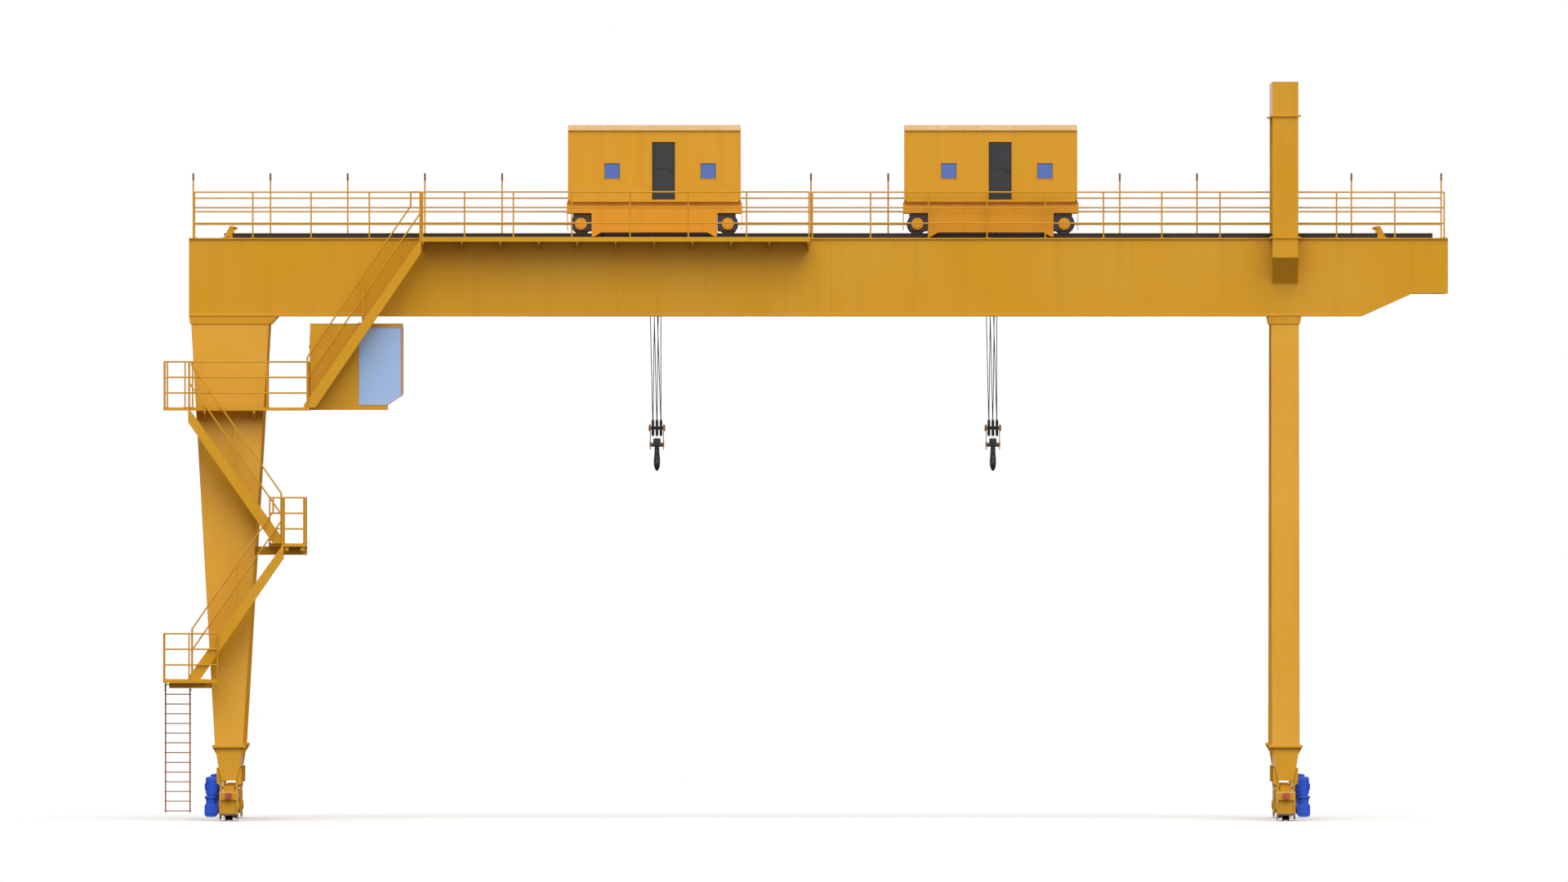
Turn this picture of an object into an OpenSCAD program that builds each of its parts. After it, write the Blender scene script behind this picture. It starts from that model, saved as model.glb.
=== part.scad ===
// Double girder gantry crane with two roofed trolleys, a hanging cab and an access stair.
// X runs along the girders, Y along the ground travel and Z up. The origin lies on the
// ground, midway between the two leg rows and midway between the girders.

/* [Girders] */
// Distance between the two leg rows
span = 30000; // [26000:500:36000]
// Girder length beyond the left leg row
left_overhang = 1160; // [1160:20:1400]
// Girder length beyond the right leg row
right_overhang = 4630; // [4500:10:6000]
// Height of the girder tops above the ground
girder_top = 16550; // [16500:10:17500]
// Depth of each box girder
girder_depth = 2220; // [2000:20:2400]
// Distance from the middle plane to each girder axis
girder_axis = 2250; // [2200:10:2400]
// Width over the two webs of a girder
web_w = 900; // [860:10:940]
// Width of the girder flanges
flange_w = 1000; // [980:10:1040]
// Thickness of the girder flanges
flange_t = 40; // [25:1:60]
// Length of the shallow girder nose past the right legs
nose_l = 1000; // [600:50:1200]
// Depth of the shallow girder nose
nose_depth = 1580; // [1300:10:1800]
// Length of the sloping underside before the nose
nose_taper_l = 1420; // [1000:20:1500]
// Width of the tie boxes that join the girder ends
tie_w = 380; // [300:10:450]

/* [Trolley rails and stops] */
// Height of the trolley rail
rail_h = 135; // [120:1:150]
// Width of the trolley rail head
rail_w = 90; // [70:2:100]
// Rail end inset from the left girder end
rail_inset_left = 1000; // [600:10:1020]
// Rail end inset from the right girder end
rail_inset_right = 430; // [300:10:600]
// Height of an end stop above the rail top
stop_h = 210; // [190:5:260]
// Length of an end stop block
stop_l = 245; // [180:5:280]
// Left end stop, distance of its face from the left leg row
stop_left = 70; // [0:10:200]
// Right end stop, distance of its face from the right leg row
stop_right = 2634; // [2500:2:2900]
// Length of the soft buffer on a stop
stop_buffer_l = 84; // [60:2:110]

/* [Legs] */
// Distance from the middle plane to the foot of each leg
leg_foot_axis = 4300; // [4200:20:4500]
// Height of the bolted joint at the foot of the legs
leg_foot_z = 2130; // [2100:5:2300]
// Gap filled by the head box between leg and girder
leg_head_h = 228; // [200:4:260]
// Inset of the left legs from the end of the girder
leg_inset = 70; // [60:2:80]
// Width of the head box of the left legs
left_head_w = 2512; // [2400:4:2600]
// Width of the head box of the right legs
right_head_w = 950; // [900:10:1000]
// Left leg width along the girder at the top
left_leg_top_w = 2200; // [1900:20:2300]
// Left leg width along the girder at the foot
left_leg_foot_w = 780; // [720:10:840]
// Right leg width along the girder
right_leg_w = 775; // [720:5:840]
// Leg depth across the girders at the top
leg_top_depth = 900; // [820:10:940]
// Leg depth across the girders at the foot
leg_foot_depth = 700; // [640:10:760]
// Thickness of the bolted foot flanges
foot_flange_t = 60; // [40:4:80]
// Width of the bolted foot flanges
foot_flange_w = 954; // [900:6:1000]

/* [Sill beams and bogies] */
// Width of the sill beams
sill_w = 560; // [500:10:600]
// Height of the sill beam undersides
sill_z = 1490; // [1440:5:1550]
// Height of the tapered shoes at the ends of the sill beams
shoe_h = 770; // [740:5:790]
// Width of the bogie frames
bogie_w = 526; // [500:2:560]
// Half length of a bogie frame along the ground travel
bogie_half_l = 1150; // [1100:10:1300]
// Height of the bogie frame tops
bogie_top = 828; // [820:1:850]
// Half distance between the two wheels of a bogie
wheel_half_base = 610; // [580:10:700]
// Tread radius of the ground travel wheels
travel_wheel_r = 350; // [320:5:360]
// Flange height of the ground travel wheels
travel_flange_h = 22; // [15:1:28]
// Side of the square travel buffers
travel_buffer_w = 174; // [140:2:200]
// Length of the travel buffers
travel_buffer_l = 150; // [100:10:200]

/* [Travel drives] */
// Distance of the motor axis from the leg row
drive_reach = 500; // [480:5:540]
// Height of the bottom of the gearbox
gearbox_z = 108; // [90:2:130]
// Height of the gearbox
gearbox_h = 370; // [350:5:380]
// Radius of the flange between gearbox and motor
drive_flange_r = 187; // [170:1:200]
// Height of the underside of that flange
drive_flange_z = 646; // [640:1:660]
// Radius of the motor
motor_r = 150; // [130:2:160]
// Height of the underside of the motor
motor_z = 748; // [740:1:760]
// Length of the motor
motor_h = 470; // [400:5:500]

/* [Portal over the right legs] */
// Width of the portal columns along the girder
portal_w = 720; // [600:20:760]
// Distance from the middle plane to the inner column faces
portal_inner = 2900; // [2850:10:3000]
// Depth of the columns across the girders
portal_depth = 700; // [600:10:760]
// Height of the cross beam underside
portal_beam_z = 20010; // [19990:10:20400]
// Depth of the cross beam
portal_beam_h = 970; // [800:10:1100]

/* [Railings and walkways] */
// Diameter of the railing bars
bar_d = 44; // [36:2:50]
// Height of a railing above its deck
railing_h = 1300; // [1200:10:1350]
// Vertical spacing of the three rails
railing_pitch = 442; // [380:2:450]
// Spacing of the front railing posts
post_pitch = 1656; // [1400:12:1800]
// Spacing of the tall posts on the rear girder
pole_pitch = 2205; // [2000:5:2400]
// Height of the tall posts on the rear girder
pole_h = 1857; // [1700:1:2000]
// Left end of the front walkway, from the left leg row
walkway_start = 5450; // [5400:10:5500]
// Length of the front walkway
walkway_l = 11050; // [10500:50:12500]
// Width of the front walkway
walkway_w = 1000; // [900:10:1100]
// Thickness of the walkway and platform decks
deck_t = 86; // [60:2:100]
// Distance from the walkway end to its first post past the stair
gate_post = 1231; // [1000:1:1300]
// Distance from the walkway end to its first evenly spaced post
even_post = 2620; // [2400:20:2800]

/* [Access stair and ladder] */
// Reach of the stair platforms beyond the left leg row
access_reach = 1860; // [1850:5:1900]
// Left end of the landing, from the left leg row
landing_start = 1560; // [1540:5:1600]
// Length of the landing
landing_l = 650; // [640:5:700]
// Clearance between the cab platform and the face of the leg
deck_face_gap = 49; // [20:1:80]
// Clearance between the cab platform and the side of the leg
deck_side_gap = 78; // [40:1:100]
// Length of the stair platforms left of their flights
platform_l = 700; // [690:5:740]
// Front edge of the platforms on the leg, from the middle plane
platform_y = 3800; // [3780:10:3900]
// Clear width between the stair stringers
stair_w = 600; // [560:10:640]
// Thickness of a stair stringer
stringer_t = 46; // [42:2:60]
// Depth of a stair stringer
stringer_d = 240; // [180:10:260]
// Depth of a tread from front to back
tread_d = 160; // [140:5:160]
// Thickness of a tread
tread_t = 40; // [25:1:50]
// Height of the ladder platform
ladder_deck_z = 4010; // [3900:5:4100]
// Height of the landing
landing_z = 7865; // [7800:5:7900]
// Height of the cab platform
cab_deck_z = 11725; // [11700:5:11800]
// Spacing of the ladder rungs
rung_pitch = 276; // [250:2:300]
// Width of the ladder between its stiles
ladder_w = 656; // [560:4:700]

/* [Cab] */
// Left wall of the cab, from the left leg row
cab_start = 2283; // [2280:1:2300]
// Length of the cab
cab_l = 2630; // [2400:10:2800]
// Width of the cab
cab_w = 1700; // [1500:10:1750]
// Left side of the plate that hangs the cab from the girder, from the left wall of the cab
hanger_start = 1468; // [1200:4:1600]
// Thickness of that plate
hanger_t = 90; // [60:5:120]
// Height of the cab floor underside
cab_z = 11658; // [11600:2:11700]
// Height of the cab
cab_h = 2456; // [2300:2:2500]
// Thickness of the cab walls
cab_wall = 60; // [40:2:80]
// Thickness of the cab glass
cab_glass_t = 16; // [10:1:24]
// Width of the slim frame around the cab windows
cab_frame = 40; // [30:2:60]
// Length of the cut lower corner of the cab
cab_cut = 430; // [300:10:600]
// Height of the cab floor box under its windows
cab_sill_h = 144; // [120:2:200]

/* [Trolleys] */
// Position of the left trolley
trolley_left_x = -2932; // [-2960:4:-2900]
// Position of the right trolley
trolley_right_x = 6640; // [6600:4:6680]
// Length of the trolley frame
frame_l = 4982; // [4900:2:5100]
// Width of the trolley frame
frame_w = 5000; // [4920:10:5060]
// Height of the trolley frame beams
frame_h = 310; // [280:2:340]
// Height of the frame top above the rail
frame_top = 885; // [860:1:920]
// Height of the recessed band under the house
band_h = 130; // [100:5:150]
// Depth of the recess of that band
band_recess = 130; // [60:10:400]
// Half length of the deep middle part of the frame
belly_half_l = 1780; // [1700:10:1785]
// Gap between the deep middle part and the rail top
belly_gap = 25; // [15:1:60]
// Thickness of the thin end plates that meet the rail stops
end_plate_t = 12; // [8:1:20]
// Half distance between the trolley wheels
trolley_half_base = 2090; // [2085:1:2110]
// Tread radius of the trolley wheels
trolley_wheel_r = 268; // [255:1:272]
// Flange height of the trolley wheels
trolley_flange_h = 22; // [15:1:26]
// Radius of the round caps on the axle boxes
cap_r = 163; // [120:1:180]
// Thickness of the caps
cap_t = 30; // [20:2:50]
// Radius of the axle of a wheelset
axle_r = 60; // [45:1:70]
// Running clearance around an axle
axle_gap = 0.4; // [0.2:0.1:0.8]

/* [Trolley houses] */
// Inset of the house from each end of the trolley frame
house_inset = 36; // [20:2:80]
// Width of a trolley house
house_w = 4960; // [4800:10:4980]
// Height of the house walls above the frame
house_h = 2020; // [1900:5:2050]
// Rise of the arched roof
roof_rise = 190; // [120:5:195]
// Thickness of the house walls
house_wall = 60; // [40:2:80]
// Width of the house door
house_door_w = 650; // [600:10:800]
// Height of the house door
house_door_h = 1640; // [1500:5:1800]
// Left edge of the house door, from the middle of the trolley
house_door_x = -63; // [-100:1:0]
// Height of the door sill above the frame
house_door_z = 66; // [55:1:100]
// Left edge of the left window, from the middle of the trolley
window_left = -1415; // [-1500:5:-1300]
// Left edge of the right window, from the middle of the trolley
window_right = 1316; // [1200:4:1400]
// Height of the windows above the frame
window_z = 664; // [600:4:800]
// Side of the square house windows
house_window = 436; // [380:4:480]

/* [Hook blocks] */
// Offset of the hook from the middle of the trolley
hook_dx = 68; // [0:4:80]
// Height of the hook sheave axle at rest
hook_axle_z = 11146; // [10900:2:11400]
// Outer radius of the rope sheaves
sheave_r = 249; // [235:1:260]
// Spacing of the rope sheaves
sheave_pitch = 115; // [105:1:120]
// Diameter of the hoist ropes
rope_d = 26; // [20:1:30]
// Radius of the hook shank in its crosshead
shank_r = 45; // [35:1:50]
// Radius of the hook bowl
hook_bowl_r = 118; // [100:2:130]

/* [Hidden] */
eps = 1;
left_x = -span / 2;
right_x = span / 2;
girder_x0 = left_x - left_overhang;
girder_x1 = right_x + right_overhang;
girder_bottom = girder_top - girder_depth;
rail_top = girder_top + rail_h;
leg_head_z = girder_bottom - leg_head_h;
flange_edge = girder_axis + flange_w / 2;
web_out = girder_axis + web_w / 2;
web_in = girder_axis - web_w / 2;
sill_top = leg_foot_z - foot_flange_t;
shoe_z = sill_top - 165 - shoe_h;
travel_wheel_z = travel_wheel_r + travel_flange_h;
railing_y = flange_edge - bar_d / 2 - 8;
walkway_y = flange_edge + walkway_w;
frame_z1 = rail_top + frame_top;
frame_z0 = frame_z1 - frame_h;
frame_y = frame_w / 2;
beam_w = 450;
wheel_z = rail_top + trolley_wheel_r + 0.5;
house_l = frame_l - 2 * house_inset;
house_z = frame_z1;
house_top = house_z + house_h;
drum_z = frame_z0 - 40;
walkway_x0 = left_x + walkway_start;
walkway_x1 = walkway_x0 + walkway_l;
access_x0 = left_x - access_reach;
landing_x0 = left_x + landing_start;
landing_x1 = landing_x0 + landing_l;
landing_back_x0 = landing_x0 - 440;
cab_deck_x1 = leg_side_x(cab_deck_z) + deck_side_gap;
cab_deck_back = leg_face_y(cab_deck_z - deck_t) - deck_face_gap;
cab_x0 = left_x + cab_start;
cab_x1 = cab_x0 + cab_l;
cab_y0 = -girder_axis - 600;
cab_y1 = cab_y0 + cab_w;
cab_top = cab_z + cab_h;
cab_sill = cab_z + cab_sill_h;
band = stair_w + 2 * stringer_t;
top_stair_y = -walkway_y + 40;
upper_y = -platform_y - 8 - band;
lower_y = upper_y - 58 - band;
crosshead_z = hook_axle_z - 477;

yellow = [0.80, 0.58, 0.14];
deep_yellow = [0.72, 0.50, 0.12];
steel = [0.27, 0.24, 0.27];
grey = [0.45, 0.45, 0.47];
dark = [0.13, 0.13, 0.16];
blue = [0.18, 0.34, 0.78];
red = [0.70, 0.20, 0.18];
glass = [0.45, 0.58, 0.82];
rung_brown = [0.30, 0.20, 0.10];

// A box between two corners.
module box(x0, x1, y0, y1, z0, z1) {
  translate([x0, y0, z0])
    cube([x1 - x0, y1 - y0, z1 - z0]);
}

// A side profile, drawn in X and Z, from y0 to y1.
module along_y(y0, y1) {
  translate([0, y1, 0])
    rotate([90, 0, 0])
      linear_extrude(y1 - y0)
        children();
}

// An end profile, drawn in Y and Z, from x0 to x1.
module along_x(x0, x1) {
  translate([x0, 0, 0])
    rotate([90, 0, 90])
      linear_extrude(x1 - x0)
        children();
}

// A round bar along Y.
module rod_y(x, z, y0, y1, r) {
  translate([x, y1, z])
    rotate([90, 0, 0])
      cylinder(h = y1 - y0, r = r, $fn = 48);
}

// A round bar along X.
module rod_x(y, z, x0, x1, r) {
  translate([x0, y, z])
    rotate([0, 90, 0])
      cylinder(h = x1 - x0, r = r, $fn = 48);
}

// A railing bar of six sides from one point to another.
module bar(a, b, d = bar_d) {
  v = b - a;
  l = norm(v);
  translate(a)
    rotate([0, acos(v[2] / l), atan2(v[1], v[0])])
      cylinder(h = l, d = d, $fn = 6);
}

// The piece and its mirror image across the middle plane.
module both_sides() {
  children();
  mirror([0, 1, 0])
    children();
}

// Three rails between two points on a deck.
module rails(a, b, h = railing_h) {
  for (i = [0 : 2])
    bar(a + [0, 0, h - i * railing_pitch], b + [0, 0, h - i * railing_pitch]);
}

// A straight railing run between two points on a deck, with evenly spaced posts.
module run(a, b, spaces, h = railing_h) {
  v = b - a;
  for (i = [0 : spaces])
    bar(a + v * i / spaces, a + v * i / spaces + [0, 0, h]);
  rails(a, b, h);
}

// A railing run along a girder, with posts at a fixed spacing from its left end.
module long_run(x0, x1, y, pitch) {
  for (x = [x0 : pitch : x1 - 100])
    bar([x, y, girder_top], [x, y, girder_top + railing_h]);
  bar([x1, y, girder_top], [x1, y, girder_top + railing_h]);
  rails([x0, y, girder_top], [x1, y, girder_top]);
}

// One box girder on the front side.
module girder() {
  along_y(-web_out, -web_in)
    polygon([[girder_x0, girder_bottom], [girder_x1 - nose_l - nose_taper_l, girder_bottom],
      [girder_x1 - nose_l, girder_top - nose_depth], [girder_x1, girder_top - nose_depth],
      [girder_x1, girder_top], [girder_x0, girder_top]]);
  box(girder_x0, girder_x1, -flange_edge, -flange_edge + flange_w, girder_top - flange_t, girder_top);
  box(girder_x0, girder_x1 - nose_l - nose_taper_l, -flange_edge, -flange_edge + flange_w,
    girder_bottom, girder_bottom + flange_t);
}

module girder_front() {
  color(yellow)
    girder();
}

module girder_rear() {
  color(yellow)
    mirror([0, 1, 0])
      girder();
}

// Tie boxes between the girder ends, level with the girder webs.
module end_ties() {
  color(yellow)
    for (x = [girder_x0 + 40, girder_x1 - tie_w - 40])
      box(x, x + tie_w, -web_in, web_in, girder_top - nose_depth + 60, girder_top - 120);
}

// The two trolley rails: foot, web and head.
module crane_rails() {
  color(steel)
    both_sides()
      translate([0, -girder_axis, girder_top])
        along_x(girder_x0 + rail_inset_left, girder_x1 - rail_inset_right)
          polygon([[-70, 0], [70, 0], [70, 16], [18, 36], [18, rail_h - 46],
            [rail_w / 2, rail_h - 36], [rail_w / 2, rail_h], [-rail_w / 2, rail_h],
            [-rail_w / 2, rail_h - 36], [-18, rail_h - 46], [-18, 36], [-70, 16]]);
}

// The block of an end stop: an upright face, a rounded top and a sloping back, astride the rail.
module stop_block(x, dir) {
  top = rail_top + stop_h;
  difference() {
    along_y(-girder_axis - 110, -girder_axis + 110)
      polygon([[x, girder_top], [x, top - 24], [x + dir * 24, top], [x + dir * 60, top],
        [x + dir * 84, top - 20], [x + dir * stop_l, girder_top]]);
    box(x - stop_l * 2, x + stop_l * 2, -girder_axis - 72, -girder_axis + 72,
      girder_top - eps, rail_top + 2);
  }
}

module rail_stops() {
  color(deep_yellow)
    both_sides() {
      stop_block(left_x + stop_left, -1);
      stop_block(right_x + stop_right, 1);
    }
}

// Soft buffers on the four rail stops and on the outer end of each bogie.
module buffers() {
  color(red)
    both_sides() {
      rod_x(-girder_axis, rail_top + stop_h - 50, left_x + stop_left,
        left_x + stop_left + stop_buffer_l, 34);
      rod_x(-girder_axis, rail_top + stop_h - 50, right_x + stop_right - stop_buffer_l,
        right_x + stop_right, 34);
      for (x = [left_x, right_x])
        travel_buffer(x, -leg_foot_axis - bogie_half_l);
    }
}

// A square rubber buffer with broken corners on the end face of a bogie.
module travel_buffer(x, y) {
  w = travel_buffer_w / 2;
  z = bogie_top - 125;
  along_y(y - travel_buffer_l, y)
    polygon([[x - w, z - w + 20], [x - w + 20, z - w], [x + w - 20, z - w], [x + w, z - w + 20],
      [x + w, z + w - 20], [x + w - 20, z + w], [x - w + 20, z + w], [x - w, z + w - 20]]);
}

// Front face of the front legs at a height.
function leg_face_y(z) = -girder_axis - leg_top_depth / 2 - (leg_head_z - z) / (leg_head_z - leg_foot_z)
  * (leg_foot_axis + leg_foot_depth / 2 - girder_axis - leg_top_depth / 2);

// Inner side of the left legs at a height.
function leg_side_x(z) = girder_x0 + leg_inset + left_leg_top_w - (leg_head_z - z)
  / (leg_head_z - leg_foot_z) * (girder_x0 + leg_inset + left_leg_top_w - left_x - left_leg_foot_w / 2);

// End profile of a leg, sloping from the girder out to its foot.
module leg_slope() {
  polygon([[-girder_axis - leg_top_depth / 2, leg_head_z], [-girder_axis + leg_top_depth / 2, leg_head_z],
    [-leg_foot_axis + leg_foot_depth / 2, leg_foot_z], [-leg_foot_axis - leg_foot_depth / 2, leg_foot_z]]);
}

// The tapered box of a leg. Widths run along the girder.
module leg_box(x, top_x0, top_x1, foot_w) {
  intersection() {
    along_y(-leg_foot_axis - leg_foot_depth, 0)
      polygon([[top_x0, leg_head_z], [top_x1, leg_head_z], [x + foot_w / 2, leg_foot_z],
        [x - foot_w / 2, leg_foot_z]]);
    along_x(top_x0 - 100, top_x1 + 100)
      leg_slope();
  }
}

// The left front leg box, which carries the platforms of the stair.
module stair_leg() {
  leg_box(left_x, girder_x0 + leg_inset, girder_x0 + leg_inset + left_leg_top_w, left_leg_foot_w);
}

// A leg with its head box and its foot flange.
module leg(x, head_x0, head_x1, top_x0, top_x1, foot_w) {
  leg_box(x, top_x0, top_x1, foot_w);
  along_y(-flange_edge + 20, -flange_edge + flange_w - 20)
    polygon([[head_x0, girder_bottom], [head_x1, girder_bottom], [top_x1 + 40, leg_head_z],
      [top_x0 - 40, leg_head_z]]);
  box(x - foot_flange_w / 2, x + foot_flange_w / 2, -leg_foot_axis - leg_foot_depth / 2 - 90,
    -leg_foot_axis + leg_foot_depth / 2 + 90, leg_foot_z - foot_flange_t / 2, leg_foot_z);
}

module legs_left() {
  color(yellow)
    both_sides()
      leg(left_x, girder_x0, girder_x0 + left_head_w, girder_x0 + leg_inset,
        girder_x0 + leg_inset + left_leg_top_w, left_leg_foot_w);
}

module legs_right() {
  color(yellow)
    both_sides()
      leg(right_x, right_x - right_head_w / 2, right_x + right_head_w / 2, right_x - right_leg_w / 2,
        right_x + right_leg_w / 2, right_leg_w);
}

// The flanged and tapered shoe at each end of a sill beam.
module shoe(x) {
  z1 = sill_top - 165;
  box(x - foot_flange_w / 2, x + foot_flange_w / 2, -leg_foot_axis - leg_foot_depth / 2 - 90,
    -leg_foot_axis + leg_foot_depth / 2 + 90, sill_top, leg_foot_z - foot_flange_t / 2);
  // neck with four corner gussets
  box(x - 340, x + 340, -leg_foot_axis - leg_foot_depth / 2, -leg_foot_axis + leg_foot_depth / 2,
    z1, sill_top);
  for (y = [-leg_foot_axis - leg_foot_depth / 2 + 20, -leg_foot_axis + leg_foot_depth / 2 - 50])
    along_y(y, y + 30)
      polygon([[x - 372, z1], [x + 372, z1], [x + 460, sill_top], [x - 460, sill_top]]);
  // tapered body
  along_y(-leg_foot_axis - leg_foot_depth / 2 - 20, -leg_foot_axis + leg_foot_depth / 2 + 20)
    polygon([[x - 215, z1 - shoe_h + 20], [x - 205, z1 - shoe_h], [x + 205, z1 - shoe_h],
      [x + 215, z1 - shoe_h + 20], [x + 294, z1 - 405], [x + 358, z1], [x - 358, z1],
      [x - 294, z1 - 405]]);
}

// A sill beam between the shoes of its two legs.
module sill(x) {
  box(x - sill_w / 2, x + sill_w / 2, -leg_foot_axis + 300, leg_foot_axis - 300, sill_z, sill_top);
  both_sides()
    shoe(x);
}

module sill_beams() {
  color(yellow)
    for (x = [left_x, right_x])
      sill(x);
}

// One cheek of the yoke that carries a bogie under its shoe.
module yoke_cheek(x, dir) {
  z1 = shoe_z + shoe_h - 405;
  difference() {
    along_y(-leg_foot_axis - 300, -leg_foot_axis + 300)
      polygon([[x + dir * 190, bogie_top + 12], [x + dir * 256, bogie_top + 12],
        [x + dir * 256, 1000], [x + dir * 349, 1060], [x + dir * 349, z1], [x + dir * 294, z1],
        [x + dir * 215, shoe_z + 20], [x + dir * 190, shoe_z - 40]]);
    rod_x(-leg_foot_axis, 925, x - 400, x + 400, 45.4);
  }
}

// One bogie: yoke cheeks, pin, lug, top box and two side plates around the wheels.
module bogie(x) {
  y0 = -leg_foot_axis - bogie_half_l;
  y1 = -leg_foot_axis + bogie_half_l;
  for (s = [-1, 1])
    yoke_cheek(x, s);
  // lug, pin and shoe seat
  box(x - 165, x + 165, -leg_foot_axis - 260, -leg_foot_axis + 260, bogie_top - 20, 1005);
  rod_x(-leg_foot_axis, 925, x - 275, x + 275, 45);
  // top box with sloping ends and a well over each wheel
  difference() {
    along_x(x - bogie_w / 2, x + bogie_w / 2)
      polygon([[y0, 584], [y1, 584], [y1, bogie_top - 40], [y1 - 200, bogie_top],
        [y0 + 200, bogie_top], [y0, bogie_top - 40]]);
    for (w = [-1, 1])
      rod_x(-leg_foot_axis + w * wheel_half_base, travel_wheel_z, x - 170, x + 170,
        travel_wheel_r + travel_flange_h + 20);
  }
  // side plates that carry the wheel axles
  for (s = [-1, 1])
    difference() {
      translate([x + s * (bogie_w / 2 - 20) - 20, 0, 0])
        along_x(0, 40)
          polygon([[y0, 600], [y0, 60], [y1, 60], [y1, 600]]);
      for (w = [-1, 1])
        rod_x(-leg_foot_axis + w * wheel_half_base, travel_wheel_z, x - bogie_w, x + bogie_w, 71);
    }
  // end plates between the side plates
  for (y = [y0 + 60, y1 - 80]) {
    box(x - bogie_w / 2 + 30, x + bogie_w / 2 - 30, y, y + 20, 150, 590);
    box(x - bogie_w / 2 + 30, x + bogie_w / 2 - 30, y - 20, y + 40, 175, 208);
  }
}

module bogies() {
  color(yellow)
    both_sides()
      for (x = [left_x, right_x])
        bogie(x);
}

// A double flanged travel wheel with its stub axle.
module travel_wheel(x, y) {
  rod_x(y, travel_wheel_z, x - 95, x - 70, travel_wheel_r + travel_flange_h);
  rod_x(y, travel_wheel_z, x + 70, x + 95, travel_wheel_r + travel_flange_h);
  rod_x(y, travel_wheel_z, x - 72, x + 72, travel_wheel_r);
  rod_x(y, travel_wheel_z, x - 150, x + 150, 130);
  rod_x(y, travel_wheel_z, x - bogie_w / 2 - 20, x + bogie_w / 2 + 20, 70.5);
}

module travel_wheels() {
  color(steel)
    both_sides()
      for (x = [left_x, right_x])
        for (w = [-1, 1])
          travel_wheel(x, -leg_foot_axis + w * wheel_half_base);
}

// A gear motor: gearbox on the wheel axle, bell, flange and upright motor.
module drive(x, dir) {
  y = -leg_foot_axis - wheel_half_base;
  inner = x + dir * (bogie_w / 2 + 20);
  mid = x + dir * drive_reach;
  r = drive_flange_r;
  z1 = gearbox_z + gearbox_h;
  along_y(y - r + 17, y + r - 17)
    polygon([[mid - r, gearbox_z + 62], [mid - r + 37, gearbox_z + 17], [mid - r + 87, gearbox_z],
      [mid + r - 87, gearbox_z], [mid + r - 37, gearbox_z + 17], [mid + r, gearbox_z + 62],
      [mid + r, z1 - 48], [mid + r - 37, z1], [mid - r + 37, z1], [mid - r, z1 - 48]]);
  rod_x(y, travel_wheel_z, min(inner, mid - dir * (r - 7)), max(inner, mid - dir * (r - 7)), 128);
  translate([mid, y, z1 - 8])
    cylinder(h = drive_flange_z - z1, r = motor_r - 2, $fn = 48);
  box(mid - 12, mid + 12, y - r + 12, y + r - 12, z1 + 2, drive_flange_z + 4);
  translate([mid, y, drive_flange_z - 40])
    cylinder(h = 40, r1 = motor_r, r2 = r, $fn = 48);
  translate([mid, y, drive_flange_z])
    cylinder(h = 50, r = r, $fn = 48);
  translate([mid, y, drive_flange_z + 44])
    cylinder(h = motor_z - drive_flange_z - 40, r = motor_r - 22, $fn = 48);
  translate([mid, y, motor_z])
    cylinder(h = motor_h, r = motor_r, $fn = 48);
  translate([mid, y, motor_z + motor_h])
    cylinder(h = 28, r1 = motor_r, r2 = motor_r - 28, $fn = 48);
}

module travel_drives() {
  color(blue)
    both_sides() {
      drive(left_x, -1);
      drive(right_x, 1);
    }
}

// Column on a corbel at the outer web of a girder, with its bolted flanges.
module portal_column() {
  x0 = right_x - portal_w / 2;
  x1 = right_x + portal_w / 2;
  outer = portal_inner + portal_depth;
  box(x0, x1, -outer, -portal_inner, girder_top + 10, portal_beam_z - 10);
  box(x0 - 85, x1 + 85, -outer - 50, -portal_inner + 50, portal_beam_z - 20, portal_beam_z);
  box(x0 - 85, x1 + 85, -outer - 40, -flange_edge - 10, girder_top - 20, girder_top + 20);
  along_x(x0 - 6, x1 + 6)
    polygon([[-web_out, girder_top - flange_t], [-flange_edge - 10, girder_top - flange_t],
      [-flange_edge - 10, girder_top - 10], [-outer, girder_top - 10], [-outer, girder_top - 565],
      [-web_out, girder_top - 1300]]);
}

module portal_columns() {
  color(yellow)
    both_sides()
      portal_column();
}

// Cross beam over both trolley rails.
module portal_beam() {
  outer = portal_inner + portal_depth;
  color(yellow) {
    box(right_x - portal_w / 2, right_x + portal_w / 2, -outer, outer, portal_beam_z,
      portal_beam_z + portal_beam_h);
    both_sides()
      box(right_x - portal_w / 2 - 85, right_x + portal_w / 2 + 85, -outer - 50, -portal_inner + 50,
        portal_beam_z, portal_beam_z + 20);
  }
}

// Railing along the front girder, left and right of the walkway.
module railing_front() {
  color(yellow) {
    long_run(girder_x0 + 160, walkway_x0 - 2, -railing_y, post_pitch);
    long_run(walkway_x1 + 60, girder_x1 - 106, -railing_y, post_pitch);
  }
}

// Tall posts and rails along the rear girder.
module railing_rear() {
  x0 = girder_x0 + 46;
  x1 = girder_x1 - 106;
  color(yellow) {
    for (x = concat([for (x = [x0 : pole_pitch : x1 - 400]) x], [x1]))
      bar([x, railing_y, girder_top], [x, railing_y, girder_top + pole_h]);
    for (z = [414, 775, 1160])
      bar([x0, railing_y, girder_top + z], [x1, railing_y, girder_top + z]);
  }
}

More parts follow.
